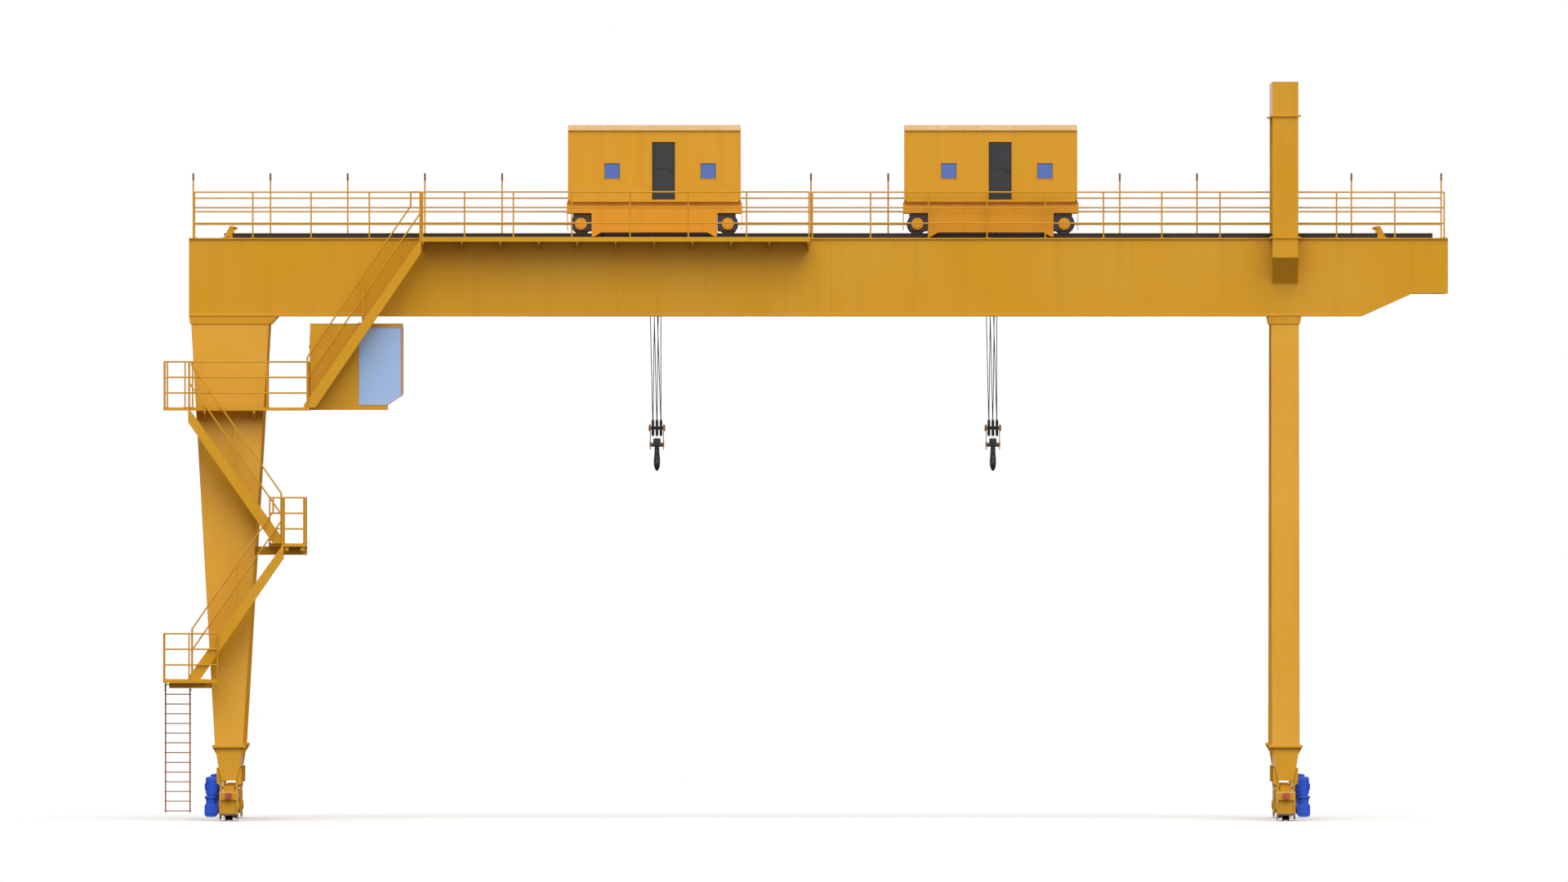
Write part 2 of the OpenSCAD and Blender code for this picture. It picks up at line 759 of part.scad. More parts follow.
// Cantilevered walkway on brackets along the front girder.
module walkway() {
  color(yellow) {
    box(walkway_x0, walkway_x1, -walkway_y, -flange_edge, girder_top - 110, girder_top - 110 + deck_t);
    for (i = [0 : 10])
      translate([walkway_x0 + 60 + (walkway_x1 - walkway_x0 - 120) * i / 10, 0, 0])
        along_x(-20, 20)
          polygon([[-web_out, girder_top - 110], [-walkway_y + 20, girder_top - 110],
            [-walkway_y + 20, girder_top - 170], [-web_out, girder_top - 370]]);
    box(walkway_x0, walkway_x1, -walkway_y, -walkway_y + 20, girder_top - 115, girder_top + 20);
  }
}

module walkway_railing() {
  z = girder_top - 110 + deck_t;
  h = railing_h + girder_top - z;
  y = -walkway_y + 45;
  color(yellow) {
    for (x = concat([walkway_x0 + 40, walkway_x0 + gate_post],
      [for (x = [walkway_x0 + even_post : post_pitch : walkway_x1 - 400]) x], [walkway_x1 - 30]))
      bar([x, y, z], [x, y, z + h]);
    rails([walkway_x0 + 40, y, z], [walkway_x1 - 30, y, z], h);
  }
}

module access_railings() {
  x0 = access_x0 + 25;
  back = -platform_y + 620;
  inner = cab_deck_x1 + 29;
  cab_back = cab_deck_back - 30;
  color(yellow) {
    // cab platform
    run([x0, upper_y + 30, cab_deck_z], [upper_head[0] - 85, upper_y + 30, cab_deck_z], 1);
    run([x0, upper_y + 100, cab_deck_z], [x0, cab_back - 70, cab_deck_z], 1);
    run([x0 + 70, cab_back, cab_deck_z], [x0 + 785, cab_back, cab_deck_z], 1);
    run([upper_head[0] + 15, -platform_y + 30, cab_deck_z], [inner, -platform_y + 30, cab_deck_z], 1);
    run([inner, -platform_y + 30, cab_deck_z], [cab_x0 - 49, -platform_y + 30, cab_deck_z], 1);
    run([inner, cab_y1 - 130, cab_deck_z], [cab_x0 - 49, cab_y1 - 130, cab_deck_z], 1);
    run([inner, cab_y1 - 900, cab_deck_z], [inner, cab_y1 - 200, cab_deck_z], 1);
    // landing
    run([landing_x1 - 25, lower_y + 100, landing_z], [landing_x1 - 25, back - 170, landing_z], 2);
    run([landing_x0 + 20, lower_y + 30, landing_z], [landing_x1 - 45, lower_y + 30, landing_z], 1);
    run([landing_back_x0 + 25, back - 100, landing_z], [landing_x1 - 95, back - 100, landing_z], 1);
    // ladder platform
    run([x0, lower_y - 60, ladder_deck_z], [x0 + 715, lower_y - 60, ladder_deck_z], 1);
    run([x0 + 715, lower_y - 60, ladder_deck_z], [access_x0 + 1545, lower_y - 60, ladder_deck_z], 1);
    run([x0, lower_y + 10, ladder_deck_z], [x0, -platform_y - 80, ladder_deck_z], 1);
  }
}

// One side of a flight, all in one plane: stringer, foot post, two handrails parallel to the
// stringer, mid post, and the upright return down to the upper deck. A flight climbs from foot
// to top, both given as X and Z, and riser is how far before its top the upper handrail turns up.
module flight_side(foot, top, y, riser) {
  dir = sign(top[0] - foot[0]);
  run_l = abs(top[0] - foot[0]);
  slope = (top[1] - foot[1]) / run_l;
  drop = stringer_d * sqrt(1 + slope * slope);
  yc = y + stringer_t / 2;
  rail = 1430;
  bend = foot[1] + rail + slope * (run_l - riser - 60);
  along_y(y, y + stringer_t)
    polygon([[foot[0] - dir * 40, foot[1]], [foot[0] + dir * drop / slope, foot[1]],
      [top[0], top[1] - drop], [top[0], top[1]], [foot[0] - dir * 40, foot[1] + 70]]);
  bar([foot[0] + dir * 60, yc, foot[1] + 30], [foot[0] + dir * 60, yc, foot[1] + rail + 8]);
  bar([foot[0] + dir * 60, yc, foot[1] + rail], [top[0] - dir * riser, yc, bend], bar_d - 6);
  bar([top[0] - dir * riser, yc, bend - 8], [top[0] - dir * riser, yc, top[1] + railing_h + 12]);
  bar([top[0] - dir * riser, yc, top[1] + railing_h], [top[0] - dir * 30, yc, top[1] + railing_h],
    bar_d - 2);
  bar([top[0] - dir * 30, yc, top[1] - 60], [top[0] - dir * 30, yc, top[1] + railing_h + 12]);
  bar([foot[0] + dir * 60, yc, foot[1] + rail - 600],
    [top[0] - dir * 30, yc, foot[1] + rail - 600 + slope * (run_l - 90)], bar_d - 6);
  bar([foot[0] + dir * (run_l / 2), yc, foot[1] + slope * run_l / 2 - 60],
    [foot[0] + dir * (run_l / 2), yc, foot[1] + rail + slope * (run_l / 2 - 60) + 8]);
}

// Both sides of a stair flight, whose near side starts at y0.
module flight_sides(foot, top, y0, riser = 300) {
  for (y = [y0, y0 + stair_w + stringer_t])
    flight_side(foot, top, y, riser);
}

// Treads of a flight, seated between the stringers.
module flight_treads(foot, top, y0, n) {
  dir = sign(top[0] - foot[0]);
  run_l = abs(top[0] - foot[0]);
  rise = top[1] - foot[1];
  for (i = [1 : n])
    translate([foot[0] + dir * (run_l * i / (n + 1)) + (dir > 0 ? 0 : -tread_d), y0 + stringer_t,
      foot[1] + rise * i / (n + 1) - tread_t])
      cube([tread_d, stair_w, tread_t]);
}

top_foot = [cab_x0 - 128, cab_deck_z];
top_head = [walkway_x0, girder_top];
upper_foot = [landing_x0 - 20, landing_z];
upper_head = [access_x0 + platform_l, cab_deck_z];
lower_foot = [access_x0 + platform_l + 60, ladder_deck_z];
lower_head = [landing_x0, landing_z];

module top_stair_sides() {
  color(yellow)
    flight_sides(top_foot, top_head, top_stair_y);
}

module top_stair_treads() {
  color(deep_yellow)
    flight_treads(top_foot, top_head, top_stair_y, 19);
}

module upper_flight_sides() {
  color(yellow)
    flight_sides(upper_foot, upper_head, upper_y, 105);
}

module upper_flight_treads() {
  color(deep_yellow)
    flight_treads(upper_foot, upper_head, upper_y, 15);
}

module lower_flight_sides() {
  color(yellow)
    flight_sides(lower_foot, lower_head, lower_y);
}

module lower_flight_treads() {
  color(deep_yellow)
    flight_treads(lower_foot, lower_head, lower_y, 15);
}

// Platform at cab level, carried by brackets on the left front leg.
module cab_platform() {
  z = cab_deck_z - deck_t;
  back = cab_deck_back;
  color(yellow) {
    translate([0, 0, z])
      linear_extrude(deck_t)
        polygon([[access_x0, upper_y], [upper_head[0], upper_y], [upper_head[0], -platform_y],
          [cab_x0 - 5, -platform_y], [cab_x0 - 5, cab_y1 - 100], [cab_deck_x1, cab_y1 - 100],
          [cab_deck_x1, back], [access_x0, back]]);
    difference() {
      for (x = [left_x - 700, left_x + 700])
        along_x(x - 30, x + 30)
          polygon([[back + 350, z], [-platform_y + 20, z], [-platform_y + 20, z - 80],
            [back + 350, z - 420]]);
      stair_leg();
    }
  }
}

// Landing between the two flights, carried from the side of the leg.
module landing() {
  z = landing_z - deck_t;
  back = -platform_y + 550;
  color(yellow) {
    box(landing_x0, landing_x1, lower_y, -platform_y, z, landing_z);
    box(landing_back_x0, landing_x1, -platform_y - 5, back, z, landing_z);
    for (x = [landing_x0 + 40, landing_x1 - 170])
      box(x, x + 100, lower_y + 60, back, z - 120, z);
    difference() {
      box(left_x + 600, landing_x1, back - 170, back, z - 240, z);
      stair_leg();
    }
  }
}

// Platform between the ladder and the lower flight, carried from the side of the leg.
module ladder_platform() {
  z = ladder_deck_z - 102;
  color(yellow) {
    translate([0, 0, z])
      linear_extrude(102)
        polygon([[access_x0, lower_y - 90], [access_x0 + 1565, lower_y - 90],
          [access_x0 + 1565, lower_y - 10], [lower_foot[0], lower_y - 10],
          [lower_foot[0], -platform_y - 650], [left_x - 600, -platform_y - 650],
          [left_x - 600, -platform_y], [access_x0, -platform_y]]);
    difference() {
      for (y = [-platform_y - 450, -platform_y - 100])
        box(access_x0 + 160, left_x - 400, y, y + 100, z - 150, z);
      stair_leg();
    }
  }
}

// Ladder from just above the ground to the rear edge of its platform.
module ladder() {
  x0 = access_x0 + 31;
  x1 = x0 + ladder_w + 80;
  z0 = 268;
  n = floor((ladder_deck_z - 102 - z0) / rung_pitch);
  color(rung_brown) {
    for (x = [x0, x1 - 40])
      box(x, x + 40, -platform_y, -platform_y + 60, z0 - 28, ladder_deck_z);
    for (i = [0 : n])
      rod_x(-platform_y + 30, z0 + i * rung_pitch, x0 + 20, x1 - 20, 14);
  }
}

// Side outline of the cab with the cut lower corner on the view side.
module cab_outline() {
  polygon([[cab_x0, cab_z], [cab_x1 - cab_cut, cab_z], [cab_x1 - cab_cut, cab_sill],
    [cab_x1, cab_sill + 268], [cab_x1, cab_top], [cab_x0, cab_top]]);
}

// Outline of the side windows, which follow the cut corner.
module cab_window_outline() {
  polygon([[cab_x0 + 1386, cab_sill], [cab_x1 - cab_cut - 10, cab_sill],
    [cab_x1 - cab_frame, cab_sill + 258], [cab_x1 - cab_frame, cab_top - 107],
    [cab_x0 + 1386, cab_top - 107]]);
}

module cab_shell() {
  color(yellow) {
    difference() {
      along_y(cab_y0, cab_y1)
        cab_outline();
      // room
      along_y(cab_y0 + cab_wall, cab_y1 - cab_wall)
        polygon([[cab_x0 + cab_wall, cab_z + cab_wall], [cab_x1 - cab_cut - cab_wall, cab_z + cab_wall],
          [cab_x1 - cab_cut - cab_wall, cab_sill + 10], [cab_x1 - cab_wall, cab_sill + 300],
          [cab_x1 - cab_wall, cab_top - cab_wall], [cab_x0 + cab_wall, cab_top - cab_wall]]);
      // side windows
      along_y(cab_y0 - 50, cab_y1 + 50)
        cab_window_outline();
      // front window and the sloping one under it
      box(cab_x1 - 200, cab_x1 + 50, cab_y0 + cab_frame, cab_y1 - cab_frame, cab_sill + 330,
        cab_top - 107);
      along_y(cab_y0 + cab_frame, cab_y1 - cab_frame)
        polygon([[cab_x1 - cab_cut + 20, cab_sill + 12], [cab_x1 - 20, cab_sill + 254],
          [cab_x1 - 20, cab_sill + 285], [cab_x1 - 150, cab_sill + 400],
          [cab_x1 - cab_cut - 40, cab_sill + 120]]);
      // door way
      box(cab_x0 - 50, cab_x0 + 100, cab_y0 + 200, cab_y0 + 900, cab_z + cab_wall, cab_top - 350);
    }
    // hanger plate
    box(cab_x0 + hanger_start, cab_x0 + hanger_start + hanger_t, -web_out + 100, -web_in - 100,
      cab_top, girder_bottom);
  }
}

// Panes of the cab: two sides, front, and the sloping pane at the feet.
module cab_glass() {
  t = cab_glass_t;
  color(glass) {
    for (y = [cab_y0 + 8, cab_y1 - 8 - t])
      along_y(y, y + t)
        cab_window_outline();
    box(cab_x1 - 8 - t, cab_x1 - 8, cab_y0 + cab_frame, cab_y1 - cab_frame, cab_sill + 330,
      cab_top - 107);
    along_y(cab_y0 + cab_frame, cab_y1 - cab_frame)
      polygon([[cab_x1 - cab_cut + 20, cab_sill + 12], [cab_x1 - 20, cab_sill + 254],
        [cab_x1 - 20, cab_sill + 254 + t], [cab_x1 - cab_cut + 20, cab_sill + 12 + t]]);
  }
}

module cab_door() {
  color(grey)
    box(cab_x0 + 10, cab_x0 + 50, cab_y0 + 200, cab_y0 + 900, cab_z + cab_wall, cab_top - 350);
}

// Side beams of a trolley frame: deep in the middle, raised over the wheels, with a recessed
// band under the house, the rail guards and the thin end plates.
module side_beams(cx) {
  half = frame_l / 2;
  low = rail_top + belly_gap;
  z1 = frame_z1 - band_h;
  color(yellow)
    translate([cx, 0, 0])
      both_sides() {
        along_y(-frame_y, -frame_y + beam_w)
          polygon([[-half + 30, frame_z0], [-belly_half_l, frame_z0], [-belly_half_l, low],
            [belly_half_l, low], [belly_half_l, frame_z0], [half - 30, frame_z0],
            [half, frame_z0 + 30], [half, z1], [-half, z1], [-half, frame_z0 + 30]]);
        box(-half, half, -frame_y + band_recess, -frame_y + beam_w, z1 - eps, frame_z1);
        for (s = [-1, 1]) {
          along_y(-frame_y, -frame_y + 30)
            polygon([[s * belly_half_l, low + 5], [s * belly_half_l, rail_top - 95],
              [s * (belly_half_l - 80), rail_top - 95], [s * (belly_half_l - 290), low + 5]]);
          box(s > 0 ? half - end_plate_t : -half, s > 0 ? half : -half + end_plate_t,
            -girder_axis - 120, -girder_axis + 120, rail_top + 90, frame_z0 + 40);
        }
      }
}

// Axle boxes of a trolley: a plate on each side of every wheel, hanging from the side beam, with
// a round cap over the end of the axle.
module axle_boxes(cx) {
  y0 = -girder_axis - 160;
  color(dark)
    translate([cx, 0, 0])
      both_sides()
        for (s = [-1, 1]) {
          for (y = [y0, y0 + 280])
            difference() {
              box(s > 0 ? belly_half_l + 20 : -trolley_half_base - 220,
                s > 0 ? trolley_half_base + 220 : -belly_half_l - 20, y, y + 40,
                wheel_z - 200, frame_z0);
              rod_y(s * trolley_half_base, wheel_z, y - 10, y + 50, axle_r + axle_gap);
            }
          rod_y(s * trolley_half_base, wheel_z, y0 - cap_t, y0, cap_r);
        }
}

// Cross beams of a trolley frame. The middle pair carries the rope drum.
module cross_beams(cx) {
  half = frame_l / 2;
  color(yellow)
    translate([cx, 0, 0]) {
      for (x = [-half, -belly_half_l, belly_half_l - 300, half - 300])
        box(x, x + 300, -frame_y + beam_w, frame_y - beam_w, frame_z0, frame_z1);
      for (x = [hook_dx - 580, hook_dx + 380])
        difference() {
          union() {
            box(x, x + 200, -frame_y + beam_w, frame_y - beam_w, frame_z0, frame_z1);
            box(x, x + 200, -160, 160, drum_z - 110, frame_z0 + 10);
          }
          rod_x(0, drum_z, x - 10, x + 210, 52.5);
        }
    }
}

// One wheelset: axle and two double flanged wheels.
module wheelset(x) {
  color(steel) {
    rod_y(x, wheel_z, -girder_axis - 150, girder_axis + 150, axle_r);
    both_sides() {
      rod_y(x, wheel_z, -girder_axis - 50, -girder_axis + 50, trolley_wheel_r);
      for (y = [-girder_axis - 72, -girder_axis + 50])
        rod_y(x, wheel_z, y, y + 22, trolley_wheel_r + trolley_flange_h);
      rod_y(x, wheel_z, -girder_axis - 100, -girder_axis + 100, 100);
    }
  }
}

// House walls with the door way and the windows cut through, and the floor.
module house_walls(cx) {
  half = house_l / 2;
  y1 = house_w / 2;
  color(yellow)
    translate([cx, 0, 0])
      difference() {
        box(-half, half, -y1, y1, house_z, house_top);
        box(-half + house_wall, half - house_wall, -y1 + house_wall, y1 - house_wall,
          house_z + 50, house_top + eps);
        box(house_door_x, house_door_x + house_door_w, -y1 - 10, -y1 + 100, house_z + house_door_z,
          house_z + house_door_z + house_door_h);
        for (x = [window_left, window_right])
          box(x, x + house_window, -y1 - 10, y1 + 10, house_z + window_z,
            house_z + window_z + house_window);
      }
}

// Arched sheet roof with a small eave.
module house_roof(cx) {
  y1 = house_w / 2 + 40;
  steps = 12;
  color(yellow)
    translate([cx, 0, 0])
      along_x(-house_l / 2, house_l / 2)
        polygon(concat([[-y1, house_top]], [for (i = [0 : steps])
          [-y1 + 2 * y1 * i / steps, house_top + 20 + (roof_rise - 20) * sin(180 * i / steps)]],
          [[y1, house_top]]));
}

module house_door(cx) {
  color(dark)
    translate([cx, 0, 0])
      box(house_door_x, house_door_x + house_door_w, -house_w / 2 + 15, -house_w / 2 + 50,
        house_z + house_door_z, house_z + house_door_z + house_door_h);
}

module house_glass(cx) {
  color(glass)
    translate([cx, 0, 0])
      for (y = [-house_w / 2 + 15, house_w / 2 - 27])
        for (x = [window_left, window_right])
          box(x, x + house_window, y, y + 12, house_z + window_z, house_z + window_z + house_window);
}

// A grooved rope sheave with its axis along X.
module sheave(x, z) {
  translate([x, 0, z])
    rotate([0, 90, 0])
      rotate_extrude($fn = 48)
        polygon([[50, -40], [sheave_r - 60, -40], [sheave_r - 50, -24], [sheave_r, -34],
          [sheave_r, -24], [sheave_r - 26, -8], [sheave_r - 26, 8], [sheave_r, 24], [sheave_r, 34],
          [sheave_r - 50, 24], [sheave_r - 60, 40], [50, 40]]);
}

// The grooved rope drum on its shaft between the middle cross beams.
module rope_drum(cx) {
  n = 18;
  pitch = 36;
  x = cx + hook_dx;
  x0 = x - 342;
  l = n * pitch;
  r = sheave_r - 26;
  color(grey) {
    translate([x0, 0, drum_z])
      rotate([0, 90, 0])
        rotate_extrude($fn = 48)
          polygon(concat([[40, 0]], [for (i = [0 : n - 1]) each [[r + 8, i * pitch + 1],
            [r, i * pitch + 10], [r, i * pitch + 26], [r + 8, i * pitch + 35]]], [[40, l]]));
    for (e = [x0 - 20, x0 + l])
      rod_x(0, drum_z, e, e + 20, r + 45);
    rod_x(0, drum_z, x - 560, x + 560, 52);
  }
}

// Where each rope fall leaves the drum, beside the hook: the front falls, then the rear ones.
front_tops = [-252, -144, -72];
rear_tops = [-36, 72, 108];

// Six rope falls between the drum and the lower sheaves, three on each side.
module ropes(cx) {
  x = cx + hook_dx;
  y = sheave_r - 26 + rope_d / 2 * cos(30);
  color(steel)
    for (i = [0 : 2]) {
      bar([x + (i - 1) * sheave_pitch, -y, hook_axle_z], [x + front_tops[i], -y, drum_z], rope_d);
      bar([x + (i - 1) * sheave_pitch, y, hook_axle_z], [x + rear_tops[i], y, drum_z], rope_d);
    }
}

// Hook block: two thin cheek plates with bosses, sheaves, axle, crosshead and the hook's nut.
module hook_block(cx) {
  x = cx + hook_dx;
  color(deep_yellow) {
    for (s = [-1, 1]) {
      along_x(x + s * 187 - 12, x + s * 187 + 12)
        polygon([[-80, hook_axle_z - 620], [80, hook_axle_z - 620], [120, hook_axle_z - 380],
          [150, hook_axle_z], [80, hook_axle_z + 105], [-80, hook_axle_z + 105],
          [-150, hook_axle_z], [-120, hook_axle_z - 380]]);
      rod_x(0, hook_axle_z, x + s * 204 - 26, x + s * 204 + 26, 94);
    }
    for (i = [-1 : 1])
      sheave(x + i * sheave_pitch, hook_axle_z);
    rod_x(0, hook_axle_z, x - 190, x + 190, 49);
    difference() {
      union() {
        rod_x(0, crosshead_z, x - 196, x + 196, 58);
        translate([x, 0, crosshead_z + 40])
          cylinder(h = 135, r = 103, $fn = 48);
      }
      translate([x, 0, crosshead_z - 80])
        cylinder(h = 300, r = shank_r + 0.3, $fn = 48);
    }
  }
}

// Side profile of the single hook, drawn around the centre of its bowl. The throat is cut out
// between the shank and the tip.
module hook_profile() {
  r0 = hook_bowl_r;
  r1 = r0 + 104;
  difference() {
    union() {
      translate([0, -12])
        circle(r = r1, $fn = 64);
      polygon([[-70, 468], [70, 468], [70, 100], [-r1 + 22, 84], [-186, 160], [-140, 250],
        [-88, 320], [-70, 380]]);
      polygon([[r0, 0], [r0 + 100, 0], [r0 + 100, 20], [r0 + 66, 140], [r0, 140]]);
    }
    circle(r = r0, $fn = 64);
    polygon([[0, 0], [r0 - 4, 29], [r0 + 8, 70], [r0 + 34, 122], [r0 + 50, 130], [r0 + 66, 116],
      [r0 + 90, 62], [r0 + 104, 20], [400, 20], [400, 520], [70, 520], [70, 330], [56, 235],
      [24, 165], [-20, r0 - 2]]);
  }
}

// Single hook with its shank up through the crosshead. Seen along Y it is slim at the neck,
// widest at the bowl and rounded below.
module hook(cx) {
  x = cx + hook_dx;
  z = crosshead_z - 530;
  color(dark) {
    intersection() {
      along_x(x - 110, x + 110)
        translate([0, z])
          hook_profile();
      along_y(-400, 400)
        polygon([[x - 70, z + 600], [x - 73, z + 360], [x - 84, z + 200], [x - 98, z + 100],
          [x - 102, z + 30], [x - 96, z - 60], [x - 78, z - 130], [x - 50, z - 190],
          [x - 22, z - 222], [x + 22, z - 222], [x + 50, z - 190], [x + 78, z - 130],
          [x + 96, z - 60], [x + 102, z + 30], [x + 98, z + 100], [x + 84, z + 200],
          [x + 73, z + 360], [x + 70, z + 600]]);
    }
    translate([x, 0, z + 460])
      cylinder(h = 230, r = shank_r, $fn = 48);
  }
}

module side_beams_left() {
  side_beams(trolley_left_x);
}

module axle_boxes_left() {
  axle_boxes(trolley_left_x);
}

module cross_beams_left() {
  cross_beams(trolley_left_x);
}

module side_beams_right() {
  side_beams(trolley_right_x);
}

module axle_boxes_right() {
  axle_boxes(trolley_right_x);
}

module cross_beams_right() {
  cross_beams(trolley_right_x);
}

module house_walls_left() {
  house_walls(trolley_left_x);
}

module house_walls_right() {
  house_walls(trolley_right_x);
}

module house_roof_left() {
  house_roof(trolley_left_x);
}

module house_roof_right() {
  house_roof(trolley_right_x);
}

module house_door_left() {
  house_door(trolley_left_x);
}

module house_door_right() {
  house_door(trolley_right_x);
}

module house_glass_left() {
  house_glass(trolley_left_x);
}

module house_glass_right() {
  house_glass(trolley_right_x);
}

module rope_drum_left() {
  rope_drum(trolley_left_x);
}

module rope_drum_right() {
  rope_drum(trolley_right_x);
}

module ropes_left() {
  ropes(trolley_left_x);
}

module ropes_right() {
  ropes(trolley_right_x);
}

module wheelset_left_a() {
  wheelset(trolley_left_x - trolley_half_base);
}

module wheelset_left_b() {
  wheelset(trolley_left_x + trolley_half_base);
}

module wheelset_right_a() {
  wheelset(trolley_right_x - trolley_half_base);
}

module wheelset_right_b() {
  wheelset(trolley_right_x + trolley_half_base);
}

module hook_block_left() {
  hook_block(trolley_left_x);
}

module hook_block_right() {
  hook_block(trolley_right_x);
}

module hook_left() {
  hook(trolley_left_x);
}

module hook_right() {
  hook(trolley_right_x);
}

girder_front();
girder_rear();
end_ties();
crane_rails();
rail_stops();
buffers();
legs_left();
legs_right();
sill_beams();
bogies();
travel_wheels();
travel_drives();
portal_columns();
portal_beam();
railing_front();
railing_rear();
walkway();
walkway_railing();
access_railings();
top_stair_sides();
top_stair_treads();
upper_flight_sides();
upper_flight_treads();
lower_flight_sides();
lower_flight_treads();
cab_platform();
landing();
ladder_platform();
ladder();
cab_shell();
cab_glass();
cab_door();
side_beams_left();
axle_boxes_left();
cross_beams_left();
side_beams_right();
axle_boxes_right();
cross_beams_right();
house_walls_left();
house_walls_right();
house_roof_left();
house_roof_right();
house_door_left();
house_door_right();
house_glass_left();
house_glass_right();
rope_drum_left();
rope_drum_right();
ropes_left();
ropes_right();
wheelset_left_a();
wheelset_left_b();
wheelset_right_a();
wheelset_right_b();
hook_block_left();
hook_block_right();
hook_left();
hook_right();
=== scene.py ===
import math
import random

import bmesh
import bpy
from mathutils import Matrix, Vector


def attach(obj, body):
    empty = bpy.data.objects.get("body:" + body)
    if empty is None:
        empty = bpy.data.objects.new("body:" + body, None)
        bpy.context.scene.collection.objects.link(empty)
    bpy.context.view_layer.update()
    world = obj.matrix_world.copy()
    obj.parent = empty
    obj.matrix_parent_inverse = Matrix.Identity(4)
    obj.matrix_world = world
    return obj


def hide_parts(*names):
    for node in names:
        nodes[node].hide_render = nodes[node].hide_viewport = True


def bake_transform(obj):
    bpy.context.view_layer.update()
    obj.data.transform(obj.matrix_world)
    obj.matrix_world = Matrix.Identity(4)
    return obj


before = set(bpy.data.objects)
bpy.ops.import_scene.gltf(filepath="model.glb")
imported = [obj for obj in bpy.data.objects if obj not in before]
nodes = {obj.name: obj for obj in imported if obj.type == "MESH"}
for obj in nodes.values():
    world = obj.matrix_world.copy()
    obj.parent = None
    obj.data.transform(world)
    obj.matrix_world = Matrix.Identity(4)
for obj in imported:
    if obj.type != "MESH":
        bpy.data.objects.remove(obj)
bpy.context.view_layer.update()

# Studio
# A level view square onto the long side of the crane, from far off with a long lens. Soft lamps
# stand in front and behind, an even sky fills in, and a pale floor takes the shadow.

photo_metres_per_px = 0.02327
photo_size_px = (1920, 1080)
photo_origin_px = (927.5, 1003.0)
view_centre = (
    (photo_size_px[0] / 2 - photo_origin_px[0]) * photo_metres_per_px,
    (photo_origin_px[1] - photo_size_px[1] / 2) * photo_metres_per_px,
)

scene = bpy.context.scene
optics = bpy.data.cameras.new("long_lens")
optics.type = "PERSP"
optics.lens = 950
optics.sensor_width = 36
camera_distance = photo_size_px[0] * photo_metres_per_px * optics.lens / optics.sensor_width
optics.clip_start = 100
optics.clip_end = camera_distance + 400
camera = bpy.data.objects.new("long_lens", optics)
camera.location = (view_centre[0], -camera_distance, view_centre[1])
camera.rotation_euler = (math.radians(90), 0, 0)
scene.collection.objects.link(camera)
scene.camera = camera
scene.view_settings.view_transform = "Standard"

for name, towards, strength in (
    ("front_lamp", (0.12, -1.0, 1.08), 2.4), ("rear_lamp", (-0.4, 1.0, 0.6), 0.8),
):
    lamp_data = bpy.data.lights.new(name, "SUN")
    lamp_data.energy = strength
    lamp_data.angle = math.radians(60)
    lamp = bpy.data.objects.new(name, lamp_data)
    lamp.rotation_euler = (-Vector(towards)).to_track_quat("-Z", "Y").to_euler()
    scene.collection.objects.link(lamp)


def add_node(tree, kind, inputs, output=0, **settings):
    made = tree.nodes.new("ShaderNode" + kind)
    for name, value in settings.items():
        setattr(made, name, value)
    for label, value in inputs.items():
        if isinstance(value, bpy.types.NodeSocket):
            tree.links.new(value, made.inputs[label])
        else:
            made.inputs[label].default_value = value
    return made.outputs[output]


def combine(tree, a, b, kind="MULTIPLY"):
    return add_node(tree, "Math", {0: a, 1: b}, operation=kind)


def spread(tree, value, low, high, to_low=0.0, to_high=1.0):
    limits = {"From Min": low, "From Max": high, "To Min": to_low, "To Max": to_high}
    return add_node(tree, "MapRange", {"Value": value, **limits}, "Result")


def blend_colour(tree, amount, a, b, kind="MIX"):
    inputs = {"Factor": amount, "A": a, "B": b}
    return add_node(tree, "Mix", inputs, "Result", data_type="RGBA", blend_type=kind)


world = bpy.data.worlds.new("even_sky")
scene.world = world
world.use_nodes = True
sky = world.node_tree
sky.nodes.clear()
sky_light = add_node(sky, "Background", {"Color": (1.0, 0.99, 0.97, 1), "Strength": 0.66})
sky_white = add_node(sky, "Background", {"Color": (1, 1, 1, 1), "Strength": 1.0})
sky_path = sky.nodes.new("ShaderNodeLightPath").outputs
seen_rays = sky_path["Is Camera Ray"]
for kind in ("Is Transmission Ray", "Is Glossy Ray"):
    seen_rays = combine(sky, seen_rays, sky_path[kind], "MAXIMUM")
sky_mix = add_node(sky, "MixShader", {"Fac": seen_rays, 1: sky_light, 2: sky_white})
sky.links.new(sky_mix, sky.nodes.new("ShaderNodeOutputWorld").inputs["Surface"])

floor_mesh = bmesh.new()
bmesh.ops.create_circle(floor_mesh, cap_ends=True, segments=96, radius=140)
floor_data = bpy.data.meshes.new("floor")
floor_mesh.to_mesh(floor_data)
floor_mesh.free()
floor = bpy.data.objects.new("floor", floor_data)
floor.location.z = -0.004
scene.collection.objects.link(floor)

floor_paint = bpy.data.materials.new("pale_floor")
floor_paint.use_nodes = True
ground = floor_paint.node_tree
floor_shader = ground.nodes["Principled BSDF"]
floor_noise = add_node(ground, "TexNoise", {"Scale": 0.2}, "Fac")
floor_seen = blend_colour(ground, floor_noise, (0.77, 0.77, 0.77, 1), (0.80, 0.80, 0.80, 1))
camera_ray = add_node(ground, "LightPath", {}, "Is Camera Ray")
floor_colour = blend_colour(ground, camera_ray, (0.16, 0.155, 0.15, 1), floor_seen)
ground.links.new(floor_colour, floor_shader.inputs["Base Color"])
floor_shader.inputs["Roughness"].default_value = 0.9
floor_place = add_node(ground, "NewGeometry", {}, "Position")
floor_reach = add_node(ground, "VectorMath", {0: floor_place}, "Value", operation="LENGTH")
floor_fade = combine(ground, spread(ground, floor_reach, 40, 110), camera_ray)
floor_glow = add_node(ground, "Emission", {})
